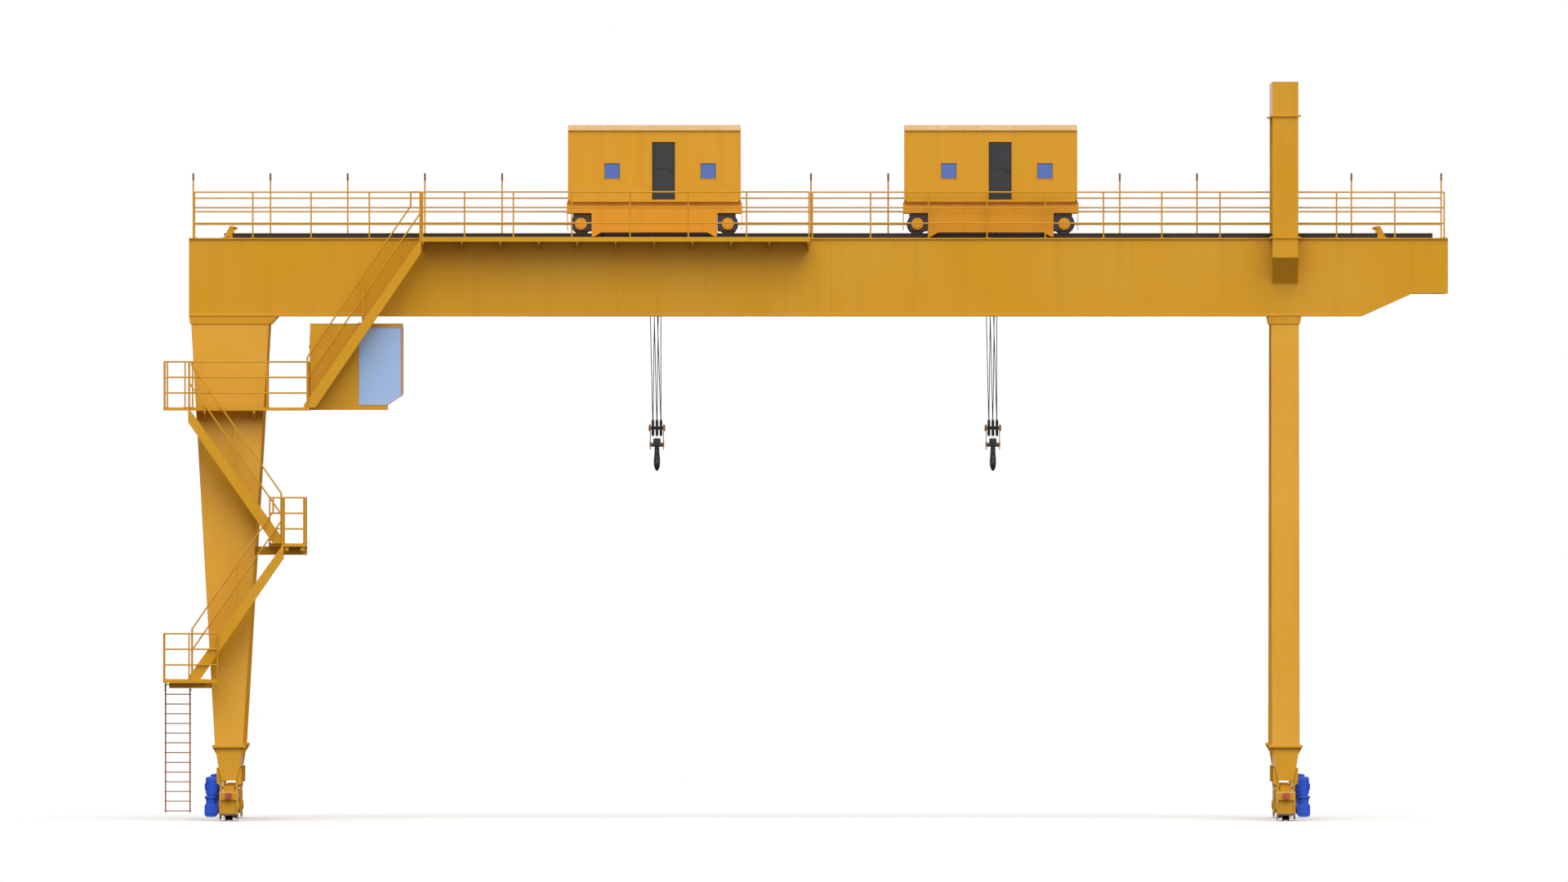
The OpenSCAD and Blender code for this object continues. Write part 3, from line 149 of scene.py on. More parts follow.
floor_parts = {"Fac": floor_fade, 1: floor_shader.outputs[0], 2: floor_glow}
floor_mix = add_node(ground, "MixShader", floor_parts)
ground.links.new(floor_mix, ground.nodes["Material Output"].inputs["Surface"])
floor.data.materials.append(floor_paint)


# Main steel structure
# Box girders, legs, sill beams and portal welded from steel plate, sprayed with yellow enamel
# outdoors. Sun fades it in broad patches, rain leaves faint streaks, and dust lies on the tops.

def shader_group(name, **inputs):
    group = bpy.data.node_groups.new(name, "ShaderNodeTree")
    for label, value in inputs.items():
        kind = "NodeSocketColor" if isinstance(value, tuple) else "NodeSocketFloat"
        socket = group.interface.new_socket(label, in_out="INPUT", socket_type=kind)
        socket.default_value = value
    for label, kind in (("Colour", "Color"), ("Roughness", "Float"), ("Height", "Float")):
        group.interface.new_socket(label, in_out="OUTPUT", socket_type="NodeSocket" + kind)
    return group, group.nodes.new("NodeGroupInput").outputs


def group_results(group, *results):
    sockets = group.nodes.new("NodeGroupOutput").inputs
    for label, result in zip(("Colour", "Roughness", "Height"), results):
        group.links.new(result, sockets[label])


def noise(tree, scale, detail, stretch=(1, 1, 1)):
    place = add_node(tree, "TexCoord", {}, "Object")
    mapped = add_node(tree, "Mapping", {"Vector": place, "Scale": stretch})
    return add_node(tree, "TexNoise", {"Vector": mapped, "Scale": scale, "Detail": detail}, "Fac")


enamel, coat = shader_group(
    "outdoor_enamel", Colour=(0.6, 0.3, 0.02, 1), Fading=0.5, Streaks=0.5, Dust=0.5
)
faded = combine(enamel, spread(enamel, noise(enamel, 0.35, 3), 0.35, 0.75), coat["Fading"])
pale = blend_colour(enamel, 0.16, coat["Colour"], (0.82, 0.52, 0.14, 1))
coat_colour = blend_colour(enamel, faded, coat["Colour"], pale)
run_off = spread(enamel, noise(enamel, 1.0, 5, (3.5, 3.5, 0.16)), 0.52, 0.78)
streaked = combine(enamel, combine(enamel, run_off, coat["Streaks"]), 0.5)
stain = blend_colour(enamel, 1, coat_colour, (0.62, 0.50, 0.42, 1), "MULTIPLY")
coat_colour = blend_colour(enamel, streaked, coat_colour, stain)
chips = spread(enamel, noise(enamel, 13, 6), 0.70, 0.74)
chipped = combine(enamel, combine(enamel, chips, coat["Streaks"]), 0.5)
coat_colour = blend_colour(enamel, chipped, coat_colour, (0.12, 0.06, 0.03, 1))
facing = add_node(enamel, "NewGeometry", {}, "Normal")
upward = add_node(enamel, "SeparateXYZ", {"Vector": facing}, "Z")
dusty = combine(enamel, spread(enamel, upward, 0.6, 0.95), coat["Dust"])
dusty = combine(enamel, dusty, spread(enamel, noise(enamel, 2.2, 4), 0.3, 0.7, 0.3, 0.9))
dust_share = combine(enamel, dusty, 0.45)
coat_colour = blend_colour(enamel, dust_share, coat_colour, (0.42, 0.36, 0.27, 1))
gloss = spread(enamel, noise(enamel, 1.7, 4), 0.3, 0.7, 0.36, 0.50)
gloss = combine(enamel, gloss, combine(enamel, dusty, 0.25), "ADD")
peel = combine(enamel, noise(enamel, 90, 2), 0.3)
group_results(enamel, coat_colour, gloss, combine(enamel, peel, noise(enamel, 2.6, 2), "ADD"))


def grouped_material(name, group, values, bump=0.0015, **constants):
    material = bpy.data.materials.new(name)
    material.use_nodes = True
    tree = material.node_tree
    shader = tree.nodes["Principled BSDF"]
    finish = tree.nodes.new("ShaderNodeGroup")
    finish.node_tree = group
    for label, value in values.items():
        finish.inputs[label].default_value = value
    relief = add_node(
        tree, "Bump", {"Distance": bump, "Strength": 0.6, "Height": finish.outputs["Height"]}
    )
    tree.links.new(finish.outputs["Colour"], shader.inputs["Base Color"])
    tree.links.new(finish.outputs["Roughness"], shader.inputs["Roughness"])
    tree.links.new(relief, shader.inputs["Normal"])
    for label, value in constants.items():
        shader.inputs[label.replace("_", " ")].default_value = value
    return material


def enamelled(name, colour, fading, streaks, dust, specular=0.25, **more):
    values = {"Colour": (*colour, 1), "Fading": fading, "Streaks": streaks, "Dust": dust}
    return grouped_material(name, enamel, values, Specular_IOR_Level=specular, **more)


def finish_nodes(material, *names):
    for name in names:
        for holder in nodes[name].material_slots:
            holder.material = material


def plate(mesh, corner, opposite, bevel=0.0):
    low = Vector([min(pair) for pair in zip(corner, opposite)])
    high = Vector([max(pair) for pair in zip(corner, opposite)])
    shape = Matrix.Translation((high + low) / 2) @ Matrix.Diagonal((*(high - low), 1))
    made = bmesh.ops.create_cube(mesh, size=1, matrix=shape)
    if bevel:
        edges = {edge for vertex in made["verts"] for edge in vertex.link_edges}
        bmesh.ops.bevel(
            mesh, geom=list(edges), offset=bevel, segments=1, affect="EDGES", profile=0.5
        )


def round_bar(mesh, start, end, radius, end_radius=None, sides=16):
    start, end = Vector(start), Vector(end)
    turn = (end - start).to_track_quat("Z", "Y").to_matrix().to_4x4()
    bmesh.ops.create_cone(
        mesh, cap_ends=True, segments=sides, radius1=radius,
        radius2=radius if end_radius is None else end_radius, depth=(end - start).length,
        matrix=Matrix.Translation((start + end) / 2) @ turn,
    )


def bolt(mesh, seat, out, size):
    seat, out = Vector(seat), Vector(out).normalized()
    washer, chamfer, top = (seat + out * size * share for share in (0.18, 0.62, 0.8))
    round_bar(mesh, seat - out * 0.001, washer, size * 0.95, sides=14)
    round_bar(mesh, washer, chamfer, size * 0.86, sides=6)
    round_bar(mesh, chamfer, top, size * 0.86, size * 0.66, 6)


def bolt_circle(mesh, centre, out, radius, count, size, start=0.5):
    axis = [abs(part) for part in out].index(1)
    for k in range(count):
        turn = math.tau * (k + start) / count
        reach = [radius * math.cos(turn), radius * math.sin(turn)]
        reach.insert(axis, 0)
        bolt(mesh, Vector(centre) + Vector(reach), out, size)


def skin(mesh, rings):
    count = len(rings[0])
    for near, far in zip(rings, rings[1:]):
        for i in range(count):
            j = (i + 1) % count
            mesh.faces.new((near[i], near[j], far[j], far[i]))
    mesh.faces.new(list(reversed(rings[0])))
    mesh.faces.new(rings[-1])


def polar(turn, radius):
    return Vector((radius * math.cos(turn), radius * math.sin(turn), 0))


seam_rng = random.Random(11)


def weld(mesh, start, end, size):
    start, end = Vector(start), Vector(end)
    steps = max(2, int((end - start).length / 0.4))
    tilt = (end - start).to_track_quat("Z", "Y")
    rings = []
    for step in range(steps + 1):
        radius = size * seam_rng.uniform(0.86, 1.12)
        middle = start.lerp(end, step / steps)
        spots = [middle + tilt @ polar(math.tau * i / 6, radius) for i in range(6)]
        rings.append([mesh.verts.new(spot) for spot in spots])
    skin(mesh, rings)


def made_piece(name, mesh, material, body, sharp=35):
    bmesh.ops.recalc_face_normals(mesh, faces=mesh.faces)
    data = bpy.data.meshes.new(name)
    mesh.to_mesh(data)
    mesh.free()
    data.materials.append(material)
    piece = bpy.data.objects.new(name, data)
    scene.collection.objects.link(piece)
    data.shade_smooth()
    if sharp:
        data.set_sharp_from_angle(angle=math.radians(sharp))
    if body:
        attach(piece, body)
    return piece


crane_yellow = enamelled("crane_yellow", (0.60, 0.285, 0.004), 0.7, 0.35, 0.8)
finish_nodes(
    crane_yellow, "girder_front", "girder_rear", "end_ties", "legs_left", "legs_right",
    "sill_beams", "bogies", "portal_columns", "portal_beam", "rail_stops", "railing_front",
    "railing_rear", "walkway", "walkway_railing", "access_railings", "top_stair_sides",
    "upper_flight_sides", "lower_flight_sides", "cab_platform", "landing", "ladder_platform",
    "cab_shell",
)

girder_left, girder_right = -16.16, 19.63
web_faces = (1.8, 2.7)
upper_flange_z, lower_flange_z = 16.51, 14.37
lower_flange_end = 17.21
splice_xs = (-10.1, -4.0, 2.1, 8.2)
nose_splice_x, nose_bottom_z = 18.63, 14.97
seams = bmesh.new()
for side in (-1, 1):
    for web in web_faces:
        y = side * web
        weld(seams, (girder_left, y, upper_flange_z), (girder_right, y, upper_flange_z), 0.011)
        weld(seams, (girder_left, y, lower_flange_z), (lower_flange_end, y, lower_flange_z), 0.011)
        for x in splice_xs:
            weld(seams, (x, y, lower_flange_z), (x, y, upper_flange_z), 0.006)
        weld(seams, (nose_splice_x, y, nose_bottom_z), (nose_splice_x, y, upper_flange_z), 0.006)
made_piece("girder_weld_seams", seams, crane_yellow, "crane", sharp=60)

# Trolley rails
# Crane rails of rolled steel on the girder tops. They lie in pressed steel clips, each held down
# by one bolt, and are bare and dark with oil, with patches of brown rust.

steel, bare = shader_group("rolled_steel", Colour=(0.06, 0.05, 0.06, 1), Rust=0.3, Grease=0.3)
mottled = spread(steel, noise(steel, 3.0, 5), 0.3, 0.7, 0.0, 0.35)
scale_dark = blend_colour(steel, 1, bare["Colour"], (0.45, 0.45, 0.5, 1), "MULTIPLY")
steel_colour = blend_colour(steel, mottled, bare["Colour"], scale_dark)
rusty = combine(steel, spread(steel, noise(steel, 9.0, 6), 0.52, 0.68), bare["Rust"])
steel_colour = blend_colour(steel, rusty, steel_colour, (0.15, 0.055, 0.022, 1))
greasy = combine(steel, spread(steel, noise(steel, 5.0, 3), 0.45, 0.65), bare["Grease"])
greased = combine(steel, greasy, 0.6)
steel_colour = blend_colour(steel, greased, steel_colour, (0.012, 0.011, 0.012, 1))
steel_gloss = combine(steel, 0.52, combine(steel, rusty, 0.35), "ADD")
steel_gloss = combine(steel, steel_gloss, combine(steel, greasy, 0.25), "SUBTRACT")
steel_grain = combine(steel, noise(steel, 60, 3), 0.5)
steel_grain = combine(steel, steel_grain, combine(steel, rusty, 0.8), "ADD")
group_results(steel, steel_colour, steel_gloss, steel_grain)


def steel_finish(name, colour, rust, grease, metallic, bump=0.0015):
    values = {"Colour": (*colour, 1), "Rust": rust, "Grease": grease}
    return grouped_material(name, steel, values, bump, Metallic=metallic)


rail_steel = steel_finish("rail_steel", (0.044, 0.030, 0.026), 0.35, 0.4, 0.35)
finish_nodes(rail_steel, "crane_rails")

east, up = Vector((1, 0, 0)), Vector((0, 0, 1))
rail_axis_y = 2.25
rail_foot_z = 16.55
lip_low_z, lip_top_z = rail_foot_z + 0.018, rail_foot_z + 0.032
clip_reaches = (0.054, 0.074, 0.106, 0.138)
clip_start, clip_pitch, clip_half = -15.06, 0.755, 0.045
clips = bmesh.new()
for side in (-1, 1):
    for edge in (-1, 1):
        near, pad, hole, far = (side * rail_axis_y + edge * reach for reach in clip_reaches)
        for step in range(46):
            x = clip_start + step * clip_pitch
            plate(clips, (x - clip_half, near, lip_low_z), (x + clip_half, far, lip_top_z), 0.004)
            plate(clips, (x - clip_half, pad, rail_foot_z), (x + clip_half, far, lip_low_z))
            bolt(clips, (x, hole, lip_top_z), up, 0.020)
made_piece("rail_clips", clips, rail_steel, "crane")

# Rail end stops
# Welded stop blocks astride each rail end, bolted down through base plates, with a rubber buffer
# in a short steel cup that meets the end plate of the trolley.

stop_faces = ((-14.93, -1), (17.634, 1))
buffer_z = 16.845
base_top_z = rail_foot_z + 0.016
stops = bmesh.new()
for side in (-1, 1):
    rail_y = side * rail_axis_y
    for face_x, out in stop_faces:
        for edge in (-1, 1):
            plate(
                stops, (face_x - out * 0.02, rail_y + edge * 0.108, rail_foot_z),
                (face_x + out * 0.30, rail_y + edge * 0.175, base_top_z), 0.003,
            )
            for along in (0.04, 0.14, 0.24):
                seat = (face_x + out * along, rail_y + edge * 0.146, base_top_z)
                bolt(stops, seat, up, 0.016)
        cup = Vector((face_x, rail_y, buffer_z))
        for length, radius in ((0.058, 0.041), (0.012, 0.062)):
            round_bar(stops, cup, cup - east * out * length, radius, sides=24)
made_piece("rail_stop_bases", stops, crane_yellow, "crane")

moulded, mould = shader_group("moulded_rubber", Colour=(0.4, 0.04, 0.03, 1), Chalking=0.4)
chalky = combine(moulded, spread(moulded, noise(moulded, 11, 5), 0.4, 0.7), mould["Chalking"])
chalk_colour = blend_colour(moulded, 0.35, mould["Colour"], (0.5, 0.42, 0.4, 1))
rubber_colour = blend_colour(moulded, chalky, mould["Colour"], chalk_colour)
rubber_gloss = combine(moulded, 0.62, combine(moulded, chalky, 0.25), "ADD")
group_results(moulded, rubber_colour, rubber_gloss, noise(moulded, 120, 2))


def rubber(name, colour):
    return grouped_material(name, moulded, {"Colour": (*colour, 1), "Chalking": 0.5}, 0.0006)


finish_nodes(rubber("red_rubber", (0.38, 0.035, 0.028)), "buffers")

# Leg heads and feet
# The legs are tapered plate boxes with corner welds. Ribs stiffen the head under the girder, and
# two thick flanges with a ring of bolts join each foot to the shoe of its sill beam.

leg_rows = (-15.0, 15.0)
leg_foot_y = 4.3
rib_xs = (-15.95, -14.93, -13.86, 14.63, 15.0, 15.37)
flange_top_z, flange_bottom_z = 2.13, 2.07
head_bottom_z = 14.102
foot_bolts = [(dx, dy) for dx in (-0.434, 0.434) for dy in (-0.33, -0.165, 0.0, 0.165, 0.33)]
foot_bolts += [
    (dx, dy) for dy in (-0.396, 0.396) for dx in (-0.43, -0.29, -0.145, 0.0, 0.145, 0.29, 0.43)
]
leg_corners = ((-16.09, -15.39), (-13.89, -14.61), (14.6125, 14.6125), (15.3875, 15.3875))
foot_welds = (
    (-0.39, -0.35, 0.39, -0.35), (-0.39, 0.35, 0.39, 0.35),
    (-0.39, -0.35, -0.39, 0.35), (0.39, -0.35, 0.39, 0.35),
)
legs = bmesh.new()
for side in (-1, 1):
    foot_y = side * leg_foot_y
    for x in rib_xs:
        plate(legs, (x - 0.009, side * 2.72, 14.125), (x + 0.009, side * 2.75, 14.33))
    for row in leg_rows:
        for dx, dy in foot_bolts:
            bolt(legs, (row + dx, foot_y + dy, flange_top_z), up, 0.024)
            bolt(legs, (row + dx, foot_y + dy, flange_bottom_z), -up, 0.024)
    for top_x, foot_x in leg_corners:
        for top_y, low_y in ((2.70, 4.65), (1.80, 3.95)):
            head = (top_x, side * top_y, head_bottom_z)
            weld(legs, head, (foot_x, side * low_y, flange_top_z), 0.006)
    for row in leg_rows:
        for x0, y0, x1, y1 in foot_welds:
            start = (row + x0, foot_y + y0, flange_top_z + 0.002)
            weld(legs, start, (row + x1, foot_y + y1, flange_top_z + 0.002), 0.012)
made_piece("leg_ribs_bolts_and_seams", legs, crane_yellow, "crane", sharp=50)

# Bogies
# Each bogie hangs on a pin in the yoke under its shoe. Bolted bearing covers close the wheel
# axles, keeper plates hold the pin, and thin grey guards and a bar sweep the rail at the ends.

bogie_reach = 1.15
wheel_spacing = 0.61
axle_z, pin_z = 0.372, 0.925
covers = bmesh.new()
for side in (-1, 1):
    bogie_y = side * leg_foot_y
    for row in leg_rows:
        for wheel in (-1, 1):
            for face in (-1, 1):
                if face * row > 0 and wheel * side == 1:
                    continue
                centre = Vector((row + face * 0.262, bogie_y + wheel * wheel_spacing, axle_z))
                out = east * face
                round_bar(covers, centre, centre + out * 0.018, 0.135, sides=32)
                round_bar(covers, centre + out * 0.018, centre + out * 0.034, 0.092, 0.084, 32)
                bolt_circle(covers, centre + out * 0.018, out, 0.113, 8, 0.011)
        for face in (-1, 1):
            pin = Vector((row + face * 0.256, bogie_y, pin_z))
            out = east * face
            round_bar(covers, pin, pin + out * 0.012, 0.072, sides=28)
            keeper_x = pin.x + face * 0.03
            plate(covers, (pin.x, pin.y - 0.075, 0.955), (keeper_x, pin.y + 0.075, 0.985), 0.003)
            for dy in (-0.055, 0.055):
                bolt(covers, (keeper_x, pin.y + dy, 0.97), out, 0.012)
        for dx in (-0.12, 0.12):
            for z in (0.608, 0.778):
                bolt(covers, (row + dx, bogie_y + side * bogie_reach, z), (0, side, 0), 0.012)
made_piece("bogie_bearing_covers", covers, crane_yellow, "crane")

worn_grey = steel_finish("worn_grey_steel", (0.19, 0.18, 0.20), 0.5, 0.15, 0.5)
guards = bmesh.new()
for side in (-1, 1):
    for row in leg_rows:
        for along in (-1, 1):
            end = side * leg_foot_y + along * bogie_reach
            front = end + along * 0.014
            for x in (row - 0.244, row + 0.244):
                inner = end - along * 0.05
                plate(guards, (x - 0.007, inner, 0.006), (x + 0.007, front, 0.062), 0.002)
                plate(guards, (x - 0.016, end, 0.055), (x + 0.016, front, 0.19), 0.002)
                for z in (0.09, 0.155):
                    bolt(guards, (x, front, z), (0, along, 0), 0.009)
            plate(
                guards, (row - 0.233, end - along * 0.044, 0.171),
                (row + 0.233, end - along * 0.024, 0.212), 0.004,
            )
made_piece("rail_guards", guards, worn_grey, "crane")

wheel_steel = steel_finish("wheel_steel", (0.052, 0.042, 0.046), 0.45, 0.5, 0.4)
finish_nodes(
    wheel_steel, "travel_wheels", "wheelset_left_a", "wheelset_left_b", "wheelset_right_a",
    "wheelset_right_b", "axle_boxes_left", "axle_boxes_right",
)

# Travel drives
# An upright gear motor drives the outer wheel of each bogie: cast gearbox with bolted covers,
# bell, flange ring and finned motor under a pressed fan cowl, all in glossy blue enamel.

drive_blue = enamelled(
    "drive_blue", (0.014, 0.088, 0.60), 0.2, 0.2, 0.5, bump=0.001, Coat_Weight=0.1,
    Coat_Roughness=0.2,
)
finish_nodes(drive_blue, "travel_drives")
fin_count, fin_low_z, fin_top_z = 36, 0.80, 1.13
fin_faces = ((0, 1, 3, 2), (4, 6, 7, 5), (2, 3, 7, 6), (0, 4, 5, 1), (0, 2, 6, 4), (1, 5, 7, 3))
cowl_rings = ((0.105, 1.249), (0.080, 1.251), (0.055, 1.253), (0.028, 1.256))
drives = bmesh.new()
for side in (-1, 1):
    for row in leg_rows:
        outward = math.copysign(1, row)
        middle = Vector((row + outward * 0.5, side * (leg_foot_y + wheel_spacing), 0))
        for k in range(fin_count):
            turn = math.tau * k / fin_count
            half_thick = polar(turn + math.pi / 2, 0.0035)
            corners = [
                drives.verts.new(middle + up * level + polar(turn, reach) + half_thick * lean)
                for level in (fin_low_z, fin_top_z) for reach in (0.146, 0.157) for lean in (-1, 1)
            ]
            for face in fin_faces:
                drives.faces.new([corners[i] for i in face])
        round_bar(drives, middle + up * 1.14, middle + up * 1.215, 0.156, 0.154, 40)
        for radius, height in cowl_rings:
            round_bar(drives, middle + up * 1.24, middle + up * height, radius, sides=32)
        bolt_circle(drives, middle + up * 0.696, up, 0.165, 8, 0.012)
        bolt_circle(drives, middle + up * 0.646, -up, 0.165, 8, 0.012)
        for face in (-1, 1):
            y = middle.y + face * 0.17
            cover_y = y + face * 0.012
            plate(drives, (middle.x - 0.12, y, 0.19), (middle.x + 0.12, cover_y, 0.42), 0.006)
            for dx in (-0.1, 0.1):
                for z in (0.21, 0.305, 0.40):
                    bolt(drives, (middle.x + dx, cover_y, z), (0, face, 0), 0.010)
        plate(
            drives, (middle.x + outward * 0.14, middle.y - 0.075, 0.90),
            (middle.x + outward * 0.182, middle.y + 0.075, 1.06), 0.006,
        )
        gland = middle + east * outward * 0.165
        round_bar(drives, gland + up * 0.87, gland + up * 0.905, 0.014, sides=12)
        out = east * outward
        hub = Vector((row + outward * 0.283, middle.y, axle_z))
        round_bar(drives, hub, hub + out * 0.02, 0.158, sides=36)
        bolt_circle(drives, hub + out * 0.02, out, 0.143, 8, 0.011)
made_piece("drive_fins_and_covers", drives, drive_blue, "crane")

# Portal
# Two box columns and a cross beam over the trolley tracks, so that the crane stays square at this
# end. Their flanges are bolted, and the corbels are welded to the girders.

portal_x = 15.0
corbel_top_z, column_top_z = 16.57, 20.0
flange_low_z, beam_flange_z, beam_top_z = 19.99, 20.03, 20.98
portal = bmesh.new()
for side in (-1, 1):
    for k in range(7):
        for x in (portal_x - 0.405, portal_x + 0.405):
            y = side * (2.95 + k * 0.1)
            bolt(portal, (x, y, beam_flange_z), up, 0.016)
            bolt(portal, (x, y, flange_low_z), -up, 0.016)
            bolt(portal, (x, side * (2.85 + k * 0.115), corbel_top_z), up, 0.016)
    for k in range(5):
        x = portal_x - 0.3 + k * 0.15
        bolt(portal, (x, side * 3.628, beam_flange_z), up, 0.014)
        bolt(portal, (x, side * 3.628, flange_low_z), -up, 0.014)
        bolt(portal, (x, side * 3.620, corbel_top_z), up, 0.014)
    for x in (portal_x - 0.36, portal_x + 0.36):
        for y, low_z, top_z in (
            (3.6, corbel_top_z, column_top_z), (2.9, corbel_top_z, column_top_z),
            (3.6, beam_flange_z, beam_top_z),
        ):
            weld(portal, (x, side * y, low_z), (x, side * y, top_z), 0.006)
    y = side * 2.706
    weld(portal, (portal_x - 0.366, y, 15.25), (portal_x + 0.366, y, 15.25), 0.012)
for z in (beam_flange_z, beam_top_z - 0.009):
    for y in (-3.6, 3.6):
        weld(portal, (portal_x - 0.36, y, z), (portal_x + 0.36, y, z), 0.007)
made_piece("portal_bolts_and_seams", portal, crane_yellow, "crane", sharp=50)

# Railings along the girders
# Steel tube railings welded to small foot plates, each held by two bolts. The tall poles on the
# rear girder end in dark brown caps, which are painted shade at the pole tops.

feet = bmesh.new()
deck_edge_x = -16.858


def rail_foot(x, y, z):
    top_z = z + 0.010
    plate(feet, (max(x - 0.062, deck_edge_x), y - 0.040, z), (x + 0.062, y + 0.040, top_z), 0.002)
    for bolt_x in (x - 0.045, x + 0.045):
        if bolt_x > deck_edge_x + 0.01:
            bolt(feet, (bolt_x, y, top_z), up, 0.009)


girder_rail_y, post_pitch = 2.72, 1.656
for first, last in ((-16.0, -9.552), (1.56, 19.524)):
    x = first
    while x < last - 0.1:
        rail_foot(x, -girder_rail_y, rail_foot_z)
        x += post_pitch
    rail_foot(last, -girder_rail_y, rail_foot_z)
pole_xs = [-16.114 + 2.205 * k for k in range(16)] + [19.524]
for x in pole_xs:
    rail_foot(x, girder_rail_y, rail_foot_z)
walkway_z, cab_deck_z, landing_z, ladder_deck_z = 16.526, 11.725, 7.865, 4.01
for x in (-9.51, -8.319, -6.93, -5.274, -3.618, -1.962, -0.306, 1.47):
    rail_foot(x, -3.705, walkway_z)
deck_feet = (
    (cab_deck_z, (
        (-16.835, -4.47), (-16.245, -4.47), (-16.835, -4.40), (-16.835, -3.25), (-16.765, -3.18),
        (-16.05, -3.18), (-16.145, -3.77), (-13.926, -3.77), (-12.766, -3.77), (-13.926, -1.28),
        (-12.766, -1.28), (-13.926, -2.05), (-13.926, -1.35),
    )),
    (landing_z, (
        (-12.815, -5.15), (-12.815, -4.25), (-12.815, -3.35), (-13.42, -5.22), (-12.835, -5.22),
        (-13.855, -3.28), (-12.885, -3.28),
    )),
    (ladder_deck_z, (
        (-16.835, -5.31), (-16.12, -5.31), (-15.315, -5.31), (-16.835, -5.24), (-16.835, -3.88),
    )),
)
for z, spots in deck_feet:
    for x, y in spots:
        rail_foot(x, y, z)
made_piece("railing_feet", feet, crane_yellow, "crane")

# Dark brown pole caps: painted shade, a dark piece set where the pole tips show shade.
painted_shade_brown = enamelled("painted_shade_brown", (0.18, 0.055, 0.004), 0.3, 0.6, 0.4)
pole_top_z = 18.407
caps = bmesh.new()
for x in pole_xs:
    top = Vector((x, girder_rail_y, pole_top_z))
    round_bar(caps, top - up * 0.17, top + up * 0.004, 0.027, sides=14)
    round_bar(caps, top + up * 0.004, top + up * 0.02, 0.027, 0.012, 14)
    round_bar(caps, top - up * 0.19, top - up * 0.17, 0.031, sides=14)
made_piece("pole_tips_painted_shade", caps, painted_shade_brown, "crane")

# Walkway and platforms
# Decks of chequer plate, with raised lozenges in alternate rows, on bent edges. They are welded
# to brackets, and their enamel is chipped and dusty.

walked_plate = enamelled("walked_plate", (0.50, 0.225, 0.006), 0.6, 1.0, 1.0)
decks = bmesh.new()


def lozenge(x, y, z, turn):
    across, along = polar(turn, 0.024), polar(turn + math.pi / 2, 0.0085)
    middle = Vector((x, y, z))
    a, b, c, d = (decks.verts.new(middle + step) for step in (across, along, -across, -along))
    e, f = (decks.verts.new(middle + across * share + up * 0.004) for share in (0.55, -0.55))
    for face in ((a, b, f, e), (b, c, f), (c, d, e, f), (d, a, e), (d, c, b, a)):
        decks.faces.new(face)


deck_areas = (
    (-9.52, -3.70, 1.47, -2.78, walkway_z),
    (-16.82, -4.46, -16.20, -3.20, cab_deck_z),
    (-16.20, -3.76, -14.0, -3.20, cab_deck_z),
    (-13.9, -3.74, -12.76, -1.32, cab_deck_z),
    (-13.40, -5.18, -12.83, -3.30, landing_z),
    (-13.85, -3.78, -13.42, -3.30, landing_z),
    (-16.82, -5.22, -16.14, -4.47, ladder_deck_z),
    (-16.82, -4.43, -15.64, -3.88, ladder_deck_z),
)
pitch = 0.085
for x0, y0, x1, y1, z in deck_areas:
    for i in range(int((x1 - x0) / pitch)):
        for j in range(int((y1 - y0) / pitch)):
            turn = math.pi / 4 if (i + j) % 2 else -math.pi / 4
            lozenge(x0 + (i + 0.5) * pitch, y0 + (j + 0.5) * pitch, z, turn)
made_piece("chequer_plate_lozenges", decks, walked_plate, "crane", sharp=20)

# Stair flights
# Steel treads bolted between the stringers with two bolts at each end. Each has a bent front lip
# with punched studs, and the enamel on them is worn.

finish_nodes(walked_plate, "top_stair_treads", "upper_flight_treads", "lower_flight_treads")
flights = (
    ((-12.845, 11.725), (-9.55, 16.55), -3.71, 19),
    ((-13.46, 7.865), (-16.16, 11.725), -4.5, 15),
    ((-16.10, 4.01), (-13.44, 7.865), -5.25, 15),
)
stringer, flight_width = 0.046, 0.692
treads = bmesh.new()
for (foot_x, foot_z), (top_x, top_z), near_y, count in flights:
    heading = math.copysign(1, top_x - foot_x)
    for i in range(1, count + 1):
        share = i / (count + 1)
        x = foot_x + (top_x - foot_x) * share
        z = foot_z + (top_z - foot_z) * share
        lip = (x - heading * 0.003, near_y + stringer + 0.004, z - 0.062)
        plate(treads, lip, (x + heading * 0.012, near_y + 0.642, z + 0.004), 0.003)
        for step in range(9):
            for reach, shift in ((0.045, 0), (0.115, 0.03)):
                spot = Vector((x + heading * reach, near_y + 0.09 + step * 0.063 + shift, z))
                round_bar(treads, spot - up * 0.001, spot + up * 0.006, 0.011, 0.008, 8)
        for face, y in ((-1, near_y), (1, near_y + flight_width)):
            for reach in (0.045, 0.12):
                bolt(treads, (x + heading * reach, y, z - 0.02), (0, face, 0), 0.011)
made_piece("tread_lips_studs_and_bolts", treads, walked_plate, "crane")
